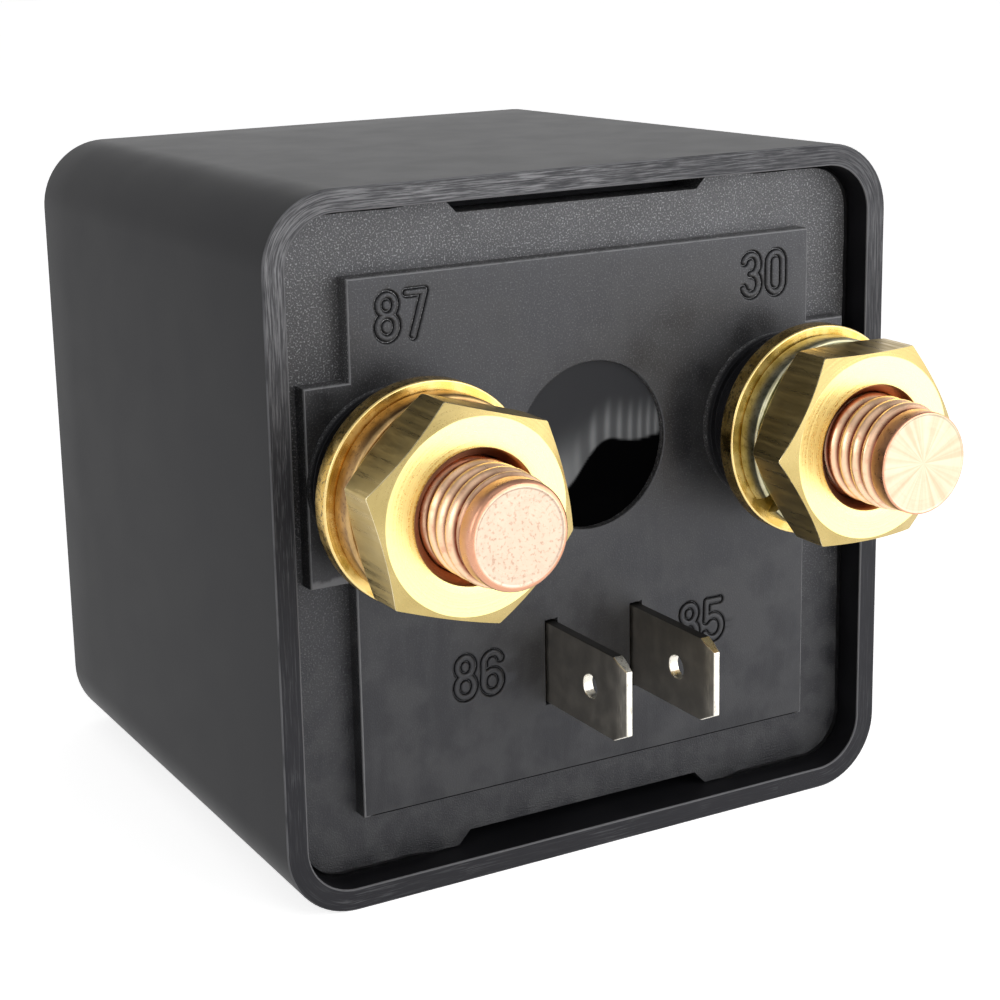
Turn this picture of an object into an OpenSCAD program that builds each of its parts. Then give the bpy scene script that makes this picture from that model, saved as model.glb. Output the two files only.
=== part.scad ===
// Battery isolator relay with two threaded copper studs and two blade terminals.
// A black moulded case holds a terminal header, sealed into the open front behind a raised rim.
// Inside, a solenoid pulls a plunger, whose rod presses a contact bridge on the heads of the studs.
// Lengths are millimetres. The relay stands on its underside at z = 0 and its terminals point along -Y.
// The origin is the middle of the footprint. A depth is measured from the rim plane into the case,
// so what stands out in front of the rim has a negative depth.

/* [Case] */
// Width of the case at its rim
case_w = 52.4; // [50:0.1:66]
// Height of the case at its rim
case_h = 52.1; // [50:0.1:66]
// Depth of the case from the rim to the closed back
case_d = 46.8; // [38:0.1:60]
// Radius of the four lengthwise edges
corner_r = 5.4; // [4.2:0.1:7]
// How far each side draws in towards the back
side_draw = 0.7; // [0.2:0.1:1.2]
// How far the top comes down towards the back
top_draw = 0.7; // [0.2:0.1:1.6]
// Thickness of the rim round the header
rim_wall = 1.65; // [1.2:0.05:2.4]
// Thickness of the walls behind the header, measured at the rim
cavity_wall = 3; // [2.6:0.1:3.8]
// Thickness of the closed back
back_wall = 2.2; // [1.6:0.1:4]

/* [Header] */
// Depth of the header frame below the rim
header_recess = 2.4; // [1.6:0.1:4]
// Thickness of the header flange
flange_t = 2.8; // [2:0.1:4]
// Gap between the header and the case opening
header_gap = 0.1; // [0.05:0.01:0.3]
// Width of the raised panel
panel_w = 39.2; // [36:0.1:42]
// Height of the raised panel
panel_h = 39.3; // [36:0.1:42]
// How far the panel stands above the frame
panel_rise = 1.4; // [0.4:0.1:1.5]
// Width over the two side tongues of the panel
tongue_span = 46.2; // [43:0.1:46.6]
// Height of each tongue
tongue_h = 14.3; // [10:0.1:18]
// Width of the notch in the upper and lower edge of the header
notch_w = 22.4; // [12:0.1:30]
// Depth of the notch
notch_depth = 1.05; // [0.5:0.05:1.5]
// Length of the slanted ends of the notch
notch_slant = 1; // [0.2:0.1:3]
// Diameter of the casting well in the middle of the panel
well_d = 12.6; // [8:0.1:14]
// Thickness of the well's floor behind the flange
well_floor = 1.2; // [0.8:0.1:1.4]
// Wall of the well behind the flange
well_wall = 1.2; // [0.8:0.1:2]
// How far the cast compound stays below the panel at its edge
compound_low = 0.5; // [0.2:0.1:1]
// Depth of the hollow in the face of the compound
compound_dish = 1.1; // [0.4:0.1:1.6]
// Flat land round that hollow
compound_land = 0.3; // [0.2:0.1:1]
// Width of the sealing bead on the frame
seal_w = 1.1; // [0.5:0.05:1.3]
// Height of the sealing bead against the rim
seal_h = 0.5; // [0.2:0.05:1.2]

/* [Stud bosses] */
// Diameter of the step at the foot of each boss
boss_foot_d = 13.2; // [12:0.1:13.8]
// Height of that step above the panel
boss_foot_h = 1; // [0.4:0.1:1.6]
// Diameter of the boss under the washers
boss_d = 12.4; // [11:0.1:13]
// Height of the boss above the panel
boss_h = 4.1; // [2:0.1:6]
// Diameter of the boss behind the flange
rear_boss_d = 12.8; // [12:0.1:13.2]
// Height of the boss behind the flange
rear_boss_h = 1.8; // [1:0.1:3]

/* [Studs] */
// Distance between the two stud axes
stud_span = 33; // [32:0.1:34]
// Height of the stud axes above the middle of the header
stud_rise = 5.3; // [4:0.1:6]
// Outer diameter of the stud thread
stud_d = 7.96; // [7.7:0.01:9.6]
// Mean diameter of the thread under the nut and the washers, and of the shank in the header
engaged_d = 7.2; // [6.4:0.1:7.4]
// How far the studs stand out in front of the rim
stud_reach = 16.6; // [15:0.1:26]
// Diameter of the plain ring at the free end
lead_d = 7.4; // [6:0.1:7.5]
// Length of that ring
lead_len = 1.3; // [0.6:0.1:2]
// Chamfer of the free end
lead_chamfer = 0.45; // [0.1:0.05:0.6]
// Side of the square head inside the case
head_w = 12.4; // [10:0.1:13]
// Thickness of the head
head_t = 3; // [2:0.1:5]
// Diameter of the silver contact on the head
tip_d = 9; // [6:0.1:10]
// Thickness of the silver contact
tip_t = 1; // [0.5:0.1:2]

/* [Nuts and washers] */
// Width of the nut across its flats
nut_af = 14; // [12:0.1:15]
// Thickness of the nut
nut_t = 4.5; // [4:0.1:7]
// How far the round face of the nut stays inside the flats
nut_face_in = 0.25; // [0:0.05:0.6]
// Rise of the nut's chamfer
nut_chamfer = 0.7; // [0.3:0.05:1]
// Widening of the thread at each face of the nut
nut_sink = 0.65; // [0.2:0.05:1]
// Gap between the nut and the stud all round
thread_gap = 0.07; // [0.02:0.01:0.1]
// Turn of the nut on the left stud
nut_turn_left = 43.7; // [0:0.1:60]
// Turn of the nut on the right stud
nut_turn_right = 0.4; // [0:0.1:60]
// Diameter of the flat washer
washer_d = 16; // [14:0.1:18]
// Thickness of the flat washer
washer_t = 1.5; // [1:0.1:2]
// Outer diameter of the spring washer
lock_d = 14.6; // [12:0.1:15.5]
// Thickness of the spring washer
lock_t = 2; // [1:0.1:3]
// Width of the cut in the spring washer
lock_cut = 1.3; // [0.5:0.1:3]
// Gap between the washers and the stud all round
washer_gap = 0.3; // [0.2:0.05:0.6]
// Place of the cut round the left spring washer
lock_turn_left = 300; // [0:1:359]
// Place of the cut round the right spring washer
lock_turn_right = 221; // [0:1:359]

/* [Blades] */
// Width of a blade
blade_w = 6.3; // [4:0.1:8]
// Thickness of a blade
blade_t = 0.8; // [0.5:0.1:1.2]
// Distance between the two blades
blade_pitch = 7.5; // [6:0.1:12]
// Depth of the blades' middle below the middle of the header
blade_drop = 10.8; // [9.5:0.1:11]
// How far the blades stand out in front of the rim
blade_reach = 9.6; // [6:0.1:14]
// Length of the corner taken off at the tip
blade_nose_l = 1.5; // [0.5:0.1:3]
// Height of the corner taken off at the tip
blade_nose_h = 0.75; // [0.3:0.05:1.5]
// Diameter of the hole in a blade
blade_hole_d = 1.8; // [1:0.1:3]
// Distance of the hole from the tip
blade_hole_back = 4.6; // [3:0.1:6]
// Gap between a blade and its slot
slot_gap = 0.1; // [0.05:0.01:0.3]
// How far the shoulders behind the flange stand out on each side
shoulder_w = 1.1; // [0.5:0.1:2]
// Length of the shoulders
shoulder_l = 1.6; // [1:0.1:3]
// Width of the solder tail
tail_w = 3; // [1.5:0.1:4]
// Length of the solder tail
tail_l = 5; // [3:0.1:7]
// Diameter of the coil leads
lead_wire_d = 0.8; // [0.4:0.05:1.2]

/* [Contact bridge] */
// Travel of the plunger
stroke = 3.2; // [2.4:0.1:3.6]
// Gap between the contacts at rest
contact_gap = 2.2; // [1.5:0.1:2.4]
// Length of the bridge
bridge_l = 43.6; // [40:0.1:45]
// Width of the bridge
bridge_w = 12; // [9:0.1:14]
// Thickness of the bridge
bridge_t = 2.5; // [1.5:0.1:3]
// Diameter of the contacts on the bridge
bridge_tip_d = 8; // [5:0.1:9]
// Thickness of the contacts on the bridge
bridge_tip_t = 0.8; // [0.4:0.1:1.5]
// Outer diameter of the insulating bush where it passes the bridge
bush_d = 7; // [6.4:0.1:8]
// Diameter of the bush's flange and of the insulating washer
bush_flange_d = 10.4; // [9.4:0.1:12]
// Thickness of that flange and washer
bush_flange_t = 0.8; // [0.5:0.1:1.2]
// Space between the bridge and the pole plate
bridge_room = 4; // [3.6:0.1:6]

/* [Push rod] */
// Diameter of the push rod
rod_d = 5; // [4:0.1:5.2]
// Gap of a sliding fit all round
slide_gap = 0.08; // [0.02:0.01:0.1]
// Thickness of the retaining clip
clip_t = 0.8; // [0.5:0.1:1]
// Diameter of the retaining clip
clip_d = 8.6; // [7:0.1:9]
// Opening of the retaining clip
clip_open = 3; // [2:0.1:3.6]
// Depth of the clip's groove
groove_depth = 0.6; // [0.3:0.05:0.8]
// Length of the rod in front of the clip
rod_nose = 0.5; // [0.3:0.1:0.8]
// Length of the contact spring
contact_spring_l = 6; // [5.6:0.1:6.2]
// Mean diameter of the contact spring
contact_spring_d = 7.8; // [7:0.1:8]
// Wire of the contact spring
contact_wire_d = 0.8; // [0.4:0.05:1]
// Turns of the contact spring
contact_turns = 4; // [3:1:5]
// Thickness of the spring seat
seat_t = 0.8; // [0.5:0.1:1.2]
// Diameter of the spring seat
seat_d = 9.4; // [8.8:0.1:9.5]

/* [Solenoid] */
// Thickness of the pole plate
plate_t = 3; // [2:0.1:4]
// Gap between the pole plate and the side walls
plate_side_gap = 2.6; // [1:0.1:4]
// Gap between the pole plate and the top wall
plate_top_gap = 0.9; // [0.4:0.1:2]
// Height of the pole plate's lower edge above the floor of the case
plate_lift = 6.5; // [4:0.1:7]
// Thickness of the yoke
yoke_t = 3; // [2:0.1:3.6]
// Width of the yoke arms
yoke_w = 20; // [14:0.1:20]
// Width of the tabs that pass the pole plate
tab_w = 8; // [4:0.1:12]
// Gap between the bobbin and the yoke arms
yoke_gap = 0.9; // [0.4:0.1:2]
// Diameter of the plunger and the fixed core
plunger_d = 12; // [11:0.1:14.4]
// Wall of the guide sleeve
sleeve_wall = 0.5; // [0.3:0.05:0.8]
// Wall of the bobbin's tube
bobbin_wall = 0.9; // [0.6:0.1:1.4]
// Diameter of the bobbin's flanges
bobbin_d = 28.6; // [27.6:0.1:29]
// Thickness of the bobbin's flanges
bobbin_flange_t = 1.2; // [0.8:0.1:2]
// Diameter of the winding
winding_d = 27.2; // [26.8:0.1:27.4]
// Thickness of the tape round the winding
tape_t = 0.3; // [0.1:0.05:0.4]
// Share of the bobbin's length that the fixed core fills
core_share = 0.47; // [0.44:0.01:0.5]
// Depth of the spring pockets in the core and the plunger
pocket_l = 3.4; // [2:0.1:3.5]
// Diameter of the spring pockets
pocket_d = 8.6; // [8:0.1:9]
// Mean diameter of the return spring
return_spring_d = 6.8; // [6.6:0.1:7]
// Wire of the return spring
return_wire_d = 0.7; // [0.4:0.05:0.8]
// Turns of the return spring
return_turns = 6; // [4:1:8]
// Gap behind the plunger at rest
plunger_gap = 0.3; // [0.1:0.05:0.5]

/* [Frame screws] */
// Diameter of the pillars on the back of the header
pillar_d = 6.6; // [5:0.1:7]
// Distance of the pillars from the edges of the pole plate
pillar_in = 3.5; // [3.3:0.1:4]
// Diameter of the frame screws
screw_d = 3; // [2:0.1:3.4]
// Length of the frame screws under the head
screw_l = 9; // [6:0.1:12]
// Diameter of the screw heads
screw_head_d = 5.4; // [4:0.1:5.5]
// Height of the screw heads
screw_head_h = 1.7; // [1:0.1:2.4]
// Gap round the screws
screw_gap = 0.1; // [0.05:0.01:0.2]

/* [Hidden] */

$fn = 96;
// Overrun of cuts past the faces that they open
over = 1;
// Gap of a press fit or a glued joint
snug = 0.02;
// Sides of the wire of the helical springs, and rings of points in each turn
wire_sides = 6;
wire_rings = 10;
hex_sides = 6;

// Main planes
total_d = case_d + stud_reach;
rim_y = stud_reach - total_d / 2;
mid_z = case_h / 2;
axis_z = mid_z + stud_rise;
blade_z = mid_z - blade_drop;

// Opening and cavity of the case
open_w = case_w - 2 * rim_wall;
open_h = case_h - 2 * rim_wall;
open_r = corner_r - rim_wall;
cavity_w = case_w - 2 * cavity_wall;
cavity_h = case_h - 2 * cavity_wall;
cavity_r = corner_r - cavity_wall;
cavity_end = case_d - back_wall;
flange_back = header_recess + flange_t;
panel_face = header_recess - panel_rise;

// Stack on each stud, from the boss to the nut
boss_face = panel_face - boss_h;
washer_face = boss_face - washer_t;
lock_face = washer_face - lock_t;
nut_face = lock_face - nut_t;
nut_corner_r = nut_af / 2 / cos(180 / hex_sides);
nut_bore_r = stud_d / 2 + thread_gap;
washer_bore_r = stud_d / 2 + washer_gap;

// Contacts, from the stud head back to the pole plate
head_front = flange_back + rear_boss_h;
tip_front = head_front + head_t;
tip_face = tip_front + tip_t;
bridge_tip_face = tip_face + contact_gap;
bridge_front = bridge_tip_face + bridge_tip_t;
bridge_back = bridge_front + bridge_t;
bush_back = bridge_back + bush_flange_t;
plate_front = bridge_back + bridge_room;
plate_back = plate_front + plate_t;

// Solenoid, from the pole plate back to the rear wall
yoke_front = cavity_end - yoke_t;
bobbin_l = yoke_front - plate_back;
core_end = plate_back + core_share * bobbin_l;
plunger_front = core_end + stroke;
plunger_back = cavity_end - plunger_gap;
rod_r = rod_d / 2;
rod_bore_r = rod_r + slide_gap;
rod_end = plunger_front + pocket_l + (plunger_back - plunger_front - pocket_l) / 2;
washer_front = bridge_front - bush_flange_t;
clip_front = washer_front - clip_t;
rod_front = clip_front - rod_nose;
seat_front = bush_back + contact_spring_l;
core_pocket_end = seat_front + seat_t + plunger_gap;
core_pocket_r = seat_d / 2 + plunger_gap;
core_flange_t = sleeve_wall * 2;
sleeve_in_r = plunger_d / 2 + slide_gap;
sleeve_out_r = sleeve_in_r + sleeve_wall;
bobbin_in_r = sleeve_out_r + snug;
bobbin_out_r = bobbin_in_r + bobbin_wall;
arm_x = bobbin_d / 2 + yoke_gap;

// Pole plate and the pillars that carry it
plate_w = cavity_w - 2 * plate_side_gap;
plate_low = cavity_wall + plate_lift;
plate_high = case_h - cavity_wall - plate_top_gap;
pillar_x = plate_w / 2 - pillar_in;
pillar_zs = [plate_low + pillar_in, plate_high - pillar_in];

// Coil leads lie on the upper edge of the solder tails
blade_top = blade_z + blade_w / 2;
lead_z = blade_top + lead_wire_d / 2 + snug;
lead_hole_r = lead_wire_d * 2;
tail_front = flange_back + shoulder_l;

// A plate in the plane of the terminal face, from a depth and with a thickness
module slab(depth, thick) {
    translate([0, rim_y + depth + thick, 0])
        rotate([90, 0, 0])
            linear_extrude(height = thick)
                children();
}

// A body turned about a line along Y: the profile holds radius and depth
module turned(x, z) {
    translate([x, rim_y, z])
        rotate([-90, 0, 0])
            rotate_extrude()
                children();
}

// A plain tube about a line along Y
module tube(x, z, depth, thick, outer_r, inner_r) {
    slab(depth, thick)
        translate([x, z])
            difference() {
                circle(r = outer_r);
                circle(r = inner_r);
            }
}

// A solid disc about a line along Y
module disc(x, z, depth, thick, radius) {
    slab(depth, thick)
        translate([x, z])
            circle(r = radius);
}

// A rectangle with round corners about a centre
module round_rect(w, h, r, x, z) {
    translate([x, z]) {
        square([w - 2 * r, h], center = true);
        square([w, h - 2 * r], center = true);
        for (sx = [-1, 1], sz = [-1, 1])
            translate([sx * (w / 2 - r), sz * (h / 2 - r)])
                circle(r = r);
    }
}

// The drafted outside of the case: the underside stays level, the sides and the top draw in
module case_outside() {
    translate([0, rim_y, 0])
        rotate([-90, 0, 0])
            mirror([0, 1, 0])
                linear_extrude(height = case_d, slices = 1,
                        scale = [1 - 2 * side_draw / case_w, 1 - top_draw / case_h])
                    round_rect(case_w, case_h, corner_r, 0, mid_z);
}

module case_shell() {
    color("#1c1c1f")
        difference() {
            case_outside();
            slab(-over, flange_back + over)
                round_rect(open_w, open_h, open_r, 0, mid_z);
            slab(flange_back - over, cavity_end - flange_back + over)
                round_rect(cavity_w, cavity_h, cavity_r, 0, mid_z);
        }
}

// Outline of the header flange with its two notches
module flange_outline() {
    flange_h = open_h - 2 * header_gap;
    difference() {
        round_rect(open_w - 2 * header_gap, flange_h, open_r - header_gap, 0, mid_z);
        for (side = [-1, 1])
            translate([0, mid_z + side * flange_h / 2])
                polygon([
                    [-notch_w / 2, side * over], [notch_w / 2, side * over],
                    [notch_w / 2, 0], [notch_w / 2 - notch_slant, -side * notch_depth],
                    [notch_slant - notch_w / 2, -side * notch_depth], [-notch_w / 2, 0]
                ]);
    }
}

module panel_outline() {
    translate([0, mid_z])
        square([panel_w, panel_h], center = true);
    translate([0, axis_z])
        square([tongue_span, tongue_h], center = true);
}

module header() {
    color("#242427")
        difference() {
            union() {
                slab(header_recess, flange_t)
                    flange_outline();
                slab(panel_face, panel_rise + flange_t / 2)
                    panel_outline();
                disc(0, axis_z, header_recess, flange_t + well_floor, well_d / 2 + well_wall);
                for (side = [-1, 1]) {
                    stud_x = side * stud_span / 2;
                    disc(stud_x, axis_z, panel_face - boss_foot_h, boss_foot_h + panel_rise, boss_foot_d / 2);
                    disc(stud_x, axis_z, boss_face, boss_h + panel_rise, boss_d / 2);
                    disc(stud_x, axis_z, header_recess, flange_t + rear_boss_h, rear_boss_d / 2);
                    for (z = pillar_zs)
                        disc(side * pillar_x, z, header_recess + flange_t / 2, plate_front - flange_back + flange_t / 2,
                            pillar_d / 2);
                }
            }
            disc(0, axis_z, panel_face - over, flange_back - panel_face + over, well_d / 2);
            for (side = [-1, 1]) {
                disc(side * stud_span / 2, axis_z, boss_face - over, head_front - boss_face + 2 * over,
                    engaged_d / 2 + snug);
                slab(panel_face - over, flange_back - panel_face + 2 * over)
                    translate([side * blade_pitch / 2, blade_z])
                        square([blade_t + 2 * slot_gap, blade_w + 2 * slot_gap], center = true);
                for (z = pillar_zs)
                    disc(side * pillar_x, z, plate_back - screw_l - screw_gap, screw_l + over, screw_d / 2 + snug);
            }
        }
}

// The sealing bead runs along the rim and stops at the notches
module header_seal() {
    color("#0c0c0e")
        slab(header_recess - seal_h, seal_h)
            difference() {
                round_rect(open_w - 2 * snug, open_h - 2 * snug, open_r - snug, 0, mid_z);
                round_rect(open_w - 2 * seal_w, open_h - 2 * seal_w, open_r - seal_w, 0, mid_z);
                translate([0, mid_z])
                    square([notch_w + 2 * seal_w, open_h + 2 * over], center = true);
            }
}

// Cast compound in the well, with a hollow face like a shallow dish
module casting_plug() {
    edge = panel_face + compound_low;
    well_r = well_d / 2 - snug;
    hollow_r = well_r - compound_land;
    dish_r = (hollow_r * hollow_r + compound_dish * compound_dish) / (2 * compound_dish);
    color("#060607")
        difference() {
            disc(0, axis_z, edge, flange_back - edge, well_r);
            translate([0, rim_y + edge + compound_dish - dish_r, axis_z])
                sphere(r = dish_r);
        }
}

// A stud: threaded end, plain shank in the header and a square head inside
module stud(x) {
    r = stud_d / 2;
    lead_r = lead_d / 2;
    lead_front_at = -stud_reach;
    color("#b5694a") {
        turned(x, axis_z)
            polygon([
                [0, lead_front_at], [lead_r - lead_chamfer, lead_front_at],
                [lead_r, lead_front_at + lead_chamfer], [lead_r, lead_front_at + lead_len],
                [r, lead_front_at + lead_len + (r - lead_r)], [r, nut_face],
                [engaged_d / 2, nut_face], [engaged_d / 2, head_front + head_t / 2],
                [0, head_front + head_t / 2]
            ]);
        slab(head_front, head_t)
            translate([x, axis_z])
                square([head_w, head_w], center = true);
    }
}

module stud_87() {
    stud(-stud_span / 2);
}

module stud_30() {
    stud(stud_span / 2);
}

module contact_tip_87() {
    color("#c9c9c4")
        disc(-stud_span / 2, axis_z, tip_front, tip_t, tip_d / 2);
}

module contact_tip_30() {
    color("#c9c9c4")
        disc(stud_span / 2, axis_z, tip_front, tip_t, tip_d / 2);
}

module flat_washer_87() {
    color("#c8a24a")
        tube(-stud_span / 2, axis_z, washer_face, washer_t, washer_d / 2, washer_bore_r);
}

module flat_washer_30() {
    color("#c8a24a")
        tube(stud_span / 2, axis_z, washer_face, washer_t, washer_d / 2, washer_bore_r);
}

// A spring washer: a square-section ring cut through on one side
module spring_washer(x, turn) {
    slab(lock_face, lock_t)
        translate([x, axis_z])
            difference() {
                circle(r = lock_d / 2);
                circle(r = washer_bore_r);
                rotate(turn)
                    translate([0, -lock_cut / 2])
                        square([lock_d, lock_cut]);
            }
}

module spring_washer_87() {
    color("#a98f52")
        spring_washer(-stud_span / 2, lock_turn_left);
}

module spring_washer_30() {
    color("#8f9181")
        spring_washer(stud_span / 2, lock_turn_right);
}

// A hexagon nut with both faces chamfered and both ends of the thread opened out
module nut(x, turn) {
    round_r = nut_af / 2 - nut_face_in;
    sink_r = nut_bore_r + nut_sink;
    wide_r = nut_corner_r + (nut_corner_r - round_r);
    slope = nut_chamfer / (nut_corner_r - round_r);
    wide_in = slope * (wide_r - round_r);
    intersection() {
        slab(nut_face, nut_t)
            translate([x, axis_z])
                rotate(turn)
                    circle(r = nut_corner_r, $fn = hex_sides);
        turned(x, axis_z)
            polygon([
                [sink_r, nut_face], [round_r, nut_face], [wide_r, nut_face + wide_in],
                [wide_r, lock_face - wide_in], [round_r, lock_face], [sink_r, lock_face],
                [nut_bore_r, lock_face - nut_sink], [nut_bore_r, nut_face + nut_sink]
            ]);
    }
}

module nut_87() {
    color("#c9a64f")
        nut(-stud_span / 2, nut_turn_left);
}

module nut_30() {
    color("#c9a64f")
        nut(stud_span / 2, nut_turn_right);
}

// A blade terminal: tapered tip in front, shoulders behind the flange and a solder tail
module blade(x) {
    half = blade_w / 2;
    nose = half - blade_nose_h;
    tip = -blade_reach;
    wide = half + shoulder_w;
    tail_end = tail_front + tail_l;
    color("#8b8880")
        difference() {
            translate([x - blade_t / 2, rim_y, blade_z])
                rotate([90, 0, 90])
                    linear_extrude(height = blade_t)
                        polygon([
                            [tip, -nose], [tip, nose], [tip + blade_nose_l, half],
                            [flange_back, half], [flange_back, wide], [tail_front, wide],
                            [tail_front, half], [tail_end, half], [tail_end, half - tail_w],
                            [tail_front, half - tail_w], [tail_front, -wide],
                            [flange_back, -wide], [flange_back, -half], [tip + blade_nose_l, -half]
                        ]);
            translate([x - blade_t, rim_y + tip + blade_hole_back, blade_z])
                rotate([0, 90, 0])
                    cylinder(h = blade_t * 2, r = blade_hole_d / 2);
        }
}

module blade_86() {
    blade(-blade_pitch / 2);
}

module blade_85() {
    blade(blade_pitch / 2);
}

// A coil lead from the solder tail, through the pole plate, to the winding
module coil_lead(x) {
    color("#b06a3c")
        disc(x, lead_z, tail_front + shoulder_w, plate_back + bobbin_flange_t - tail_front - shoulder_w,
            lead_wire_d / 2);
}

module coil_lead_86() {
    coil_lead(-blade_pitch / 2);
}

module coil_lead_85() {
    coil_lead(blade_pitch / 2);
}

module contact_bridge() {
    color("#b87048")
        slab(bridge_front, bridge_t)
            difference() {
                round_rect(bridge_l, bridge_w, bridge_w / 4, 0, axis_z);
                translate([0, axis_z])
                    circle(r = bush_d / 2);
            }
}

module bridge_tips() {
    color("#c9c9c4")
        for (side = [-1, 1])
            disc(side * stud_span / 2, axis_z, bridge_tip_face, bridge_tip_t, bridge_tip_d / 2);
}

module insulating_bush() {
    color("#d8d2c0") {
        tube(0, axis_z, bridge_front, bridge_t + bush_flange_t, bush_d / 2, rod_bore_r);
        tube(0, axis_z, bridge_back, bush_flange_t, bush_flange_d / 2, rod_bore_r);
    }
}

module insulating_washer() {
    color("#d8d2c0")
        tube(0, axis_z, washer_front, bush_flange_t, bush_flange_d / 2, rod_bore_r);
}

// Points of one ring of a helical wire: its place along the spring is given in turns
function wire_ring(turn, turns, coil_r, wire_r, length) =
    let (
        angle = 360 * turn,
        along = wire_r + (length - 2 * wire_r) * turn / turns
    )
    [for (k = [0:wire_sides - 1])
        let (a = 360 * k / wire_sides, out = coil_r + wire_r * cos(a))
        [out * cos(angle), out * sin(angle), along + wire_r * sin(a)]
    ];

// A compression spring about a line along Y, swept as one closed tube
module helical_spring(x, z, depth, length, coil_d, wire_d, turns) {
    rings = turns * wire_rings;
    points = [for (i = [0:rings])
        each wire_ring(i / wire_rings, turns, coil_d / 2, wire_d / 2, length)];
    first = [for (k = [0:wire_sides - 1]) k];
    last = [for (k = [wire_sides - 1:-1:0]) rings * wire_sides + k];
    quads = [for (i = [0:rings - 1], k = [0:wire_sides - 1], half = [0, 1])
        let (
            a = i * wire_sides + k,
            b = i * wire_sides + (k + 1) % wire_sides,
            c = a + wire_sides,
            d = b + wire_sides
        )
        half == 0 ? [a, c, b] : [b, c, d]
    ];
    translate([x, rim_y + depth, z])
        rotate([-90, 0, 0])
            polyhedron(points = points, faces = concat([first], quads, [last]));
}

module contact_spring() {
    color("#9a9a98")
        helical_spring(0, axis_z, bush_back, contact_spring_l, contact_spring_d, contact_wire_d, contact_turns);
}

module spring_seat() {
    color("#8a8c8e")
        tube(0, axis_z, seat_front, seat_t, seat_d / 2, rod_r + snug);
}

// A clip with one open side, pushed into the groove of the rod
module retaining_clip() {
    color("#5c5e60")
        slab(clip_front, clip_t)
            translate([0, axis_z])
                difference() {
                    circle(r = clip_d / 2);
                    circle(r = rod_r - groove_depth + snug);
                    translate([-clip_open / 2, -clip_d])
                        square([clip_open, clip_d]);
                }
}

// The rod has a groove for the clip and ends inside the plunger
module push_rod() {
    color("#a5a7a9")
        difference() {
            disc(0, axis_z, rod_front, rod_end - rod_front, rod_r);
            tube(0, axis_z, clip_front, clip_t, rod_d, rod_r - groove_depth);
        }
}

module plunger() {
    color("#7d7f82")
        difference() {
            disc(0, axis_z, plunger_front, plunger_back - plunger_front, plunger_d / 2);
            disc(0, axis_z, plunger_front - over, pocket_l + over, pocket_d / 2);
            disc(0, axis_z, plunger_front, rod_end - plunger_front, rod_r + snug);
        }
}

module return_spring() {
    color("#9a9a98")
        helical_spring(0, axis_z, core_end - pocket_l, stroke + 2 * pocket_l, return_spring_d, return_wire_d,
            return_turns);
}

// The core is fixed in the pole plate and bored for the rod, the seat and the return spring
module fixed_core() {
    color("#75777a")
        difference() {
            union() {
                disc(0, axis_z, plate_front, core_end - plate_front, plunger_d / 2);
                disc(0, axis_z, plate_back, core_flange_t, sleeve_out_r);
            }
            disc(0, axis_z, plate_front - over, core_pocket_end - plate_front + over, core_pocket_r);
            disc(0, axis_z, plate_front, core_end - plate_front + over, rod_bore_r);
            disc(0, axis_z, core_end - pocket_l, pocket_l + over, pocket_d / 2);
        }
}

module guide_sleeve() {
    sleeve_front = plate_back + core_flange_t;
    color("#b8974a")
        tube(0, axis_z, sleeve_front, cavity_end - sleeve_front, sleeve_out_r, sleeve_in_r);
}

module bobbin() {
    color("#d9d4c4")
        difference() {
            union() {
                disc(0, axis_z, plate_back, bobbin_l, bobbin_out_r);
                disc(0, axis_z, plate_back, bobbin_flange_t, bobbin_d / 2);
                disc(0, axis_z, yoke_front - bobbin_flange_t, bobbin_flange_t, bobbin_d / 2);
            }
            disc(0, axis_z, plate_back - over, bobbin_l + 2 * over, bobbin_in_r);
            for (side = [-1, 1])
                disc(side * blade_pitch / 2, lead_z, plate_back - over, bobbin_flange_t + over,
                    lead_wire_d / 2 + screw_gap);
        }
}

module coil_winding() {
    color("#a4552c")
        tube(0, axis_z, plate_back + bobbin_flange_t, bobbin_l - 2 * bobbin_flange_t, winding_d / 2,
            bobbin_out_r + snug);
}

module coil_tape() {
    color("#c9b24a")
        tube(0, axis_z, plate_back + bobbin_flange_t, bobbin_l - 2 * bobbin_flange_t, winding_d / 2 + tape_t,
            winding_d / 2 + snug);
}

module pole_plate() {
    color("#8d8f92")
        slab(plate_front, plate_t)
            difference() {
                translate([-plate_w / 2, plate_low])
                    square([plate_w, plate_high - plate_low]);
                translate([0, axis_z])
                    circle(r = plunger_d / 2 + snug);
                for (side = [-1, 1]) {
                    translate([side * (arm_x + yoke_t / 2), axis_z])
                        square([yoke_t + 2 * snug, tab_w + 2 * snug], center = true);
                    translate([side * blade_pitch / 2, lead_z])
                        circle(r = lead_hole_r);
                    for (z = pillar_zs)
                        translate([side * pillar_x, z])
                            circle(r = screw_d / 2 + screw_gap);
                }
            }
}

// The yoke: a back plate and two arms, whose tabs are staked in the pole plate
module yoke() {
    color("#8d8f92")
        difference() {
            union() {
                slab(yoke_front, yoke_t)
                    translate([0, axis_z])
                        square([2 * (arm_x + yoke_t), yoke_w], center = true);
                for (side = [-1, 1]) {
                    slab(plate_back, cavity_end - plate_back)
                        translate([side * (arm_x + yoke_t / 2), axis_z])
                            square([yoke_t, yoke_w], center = true);
                    slab(plate_front, plate_t + yoke_t)
                        translate([side * (arm_x + yoke_t / 2), axis_z])
                            square([yoke_t, tab_w], center = true);
                }
            }
            disc(0, axis_z, yoke_front - over, yoke_t + 2 * over, sleeve_out_r + snug);
        }
}

// Four screws hold the pole plate to the pillars of the header
module frame_screws() {
    color("#9c9da0")
        for (side = [-1, 1], z = pillar_zs) {
            disc(side * pillar_x, z, plate_back - screw_l, screw_l, screw_d / 2);
            disc(side * pillar_x, z, plate_back, screw_head_h, screw_head_d / 2);
        }
}

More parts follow.
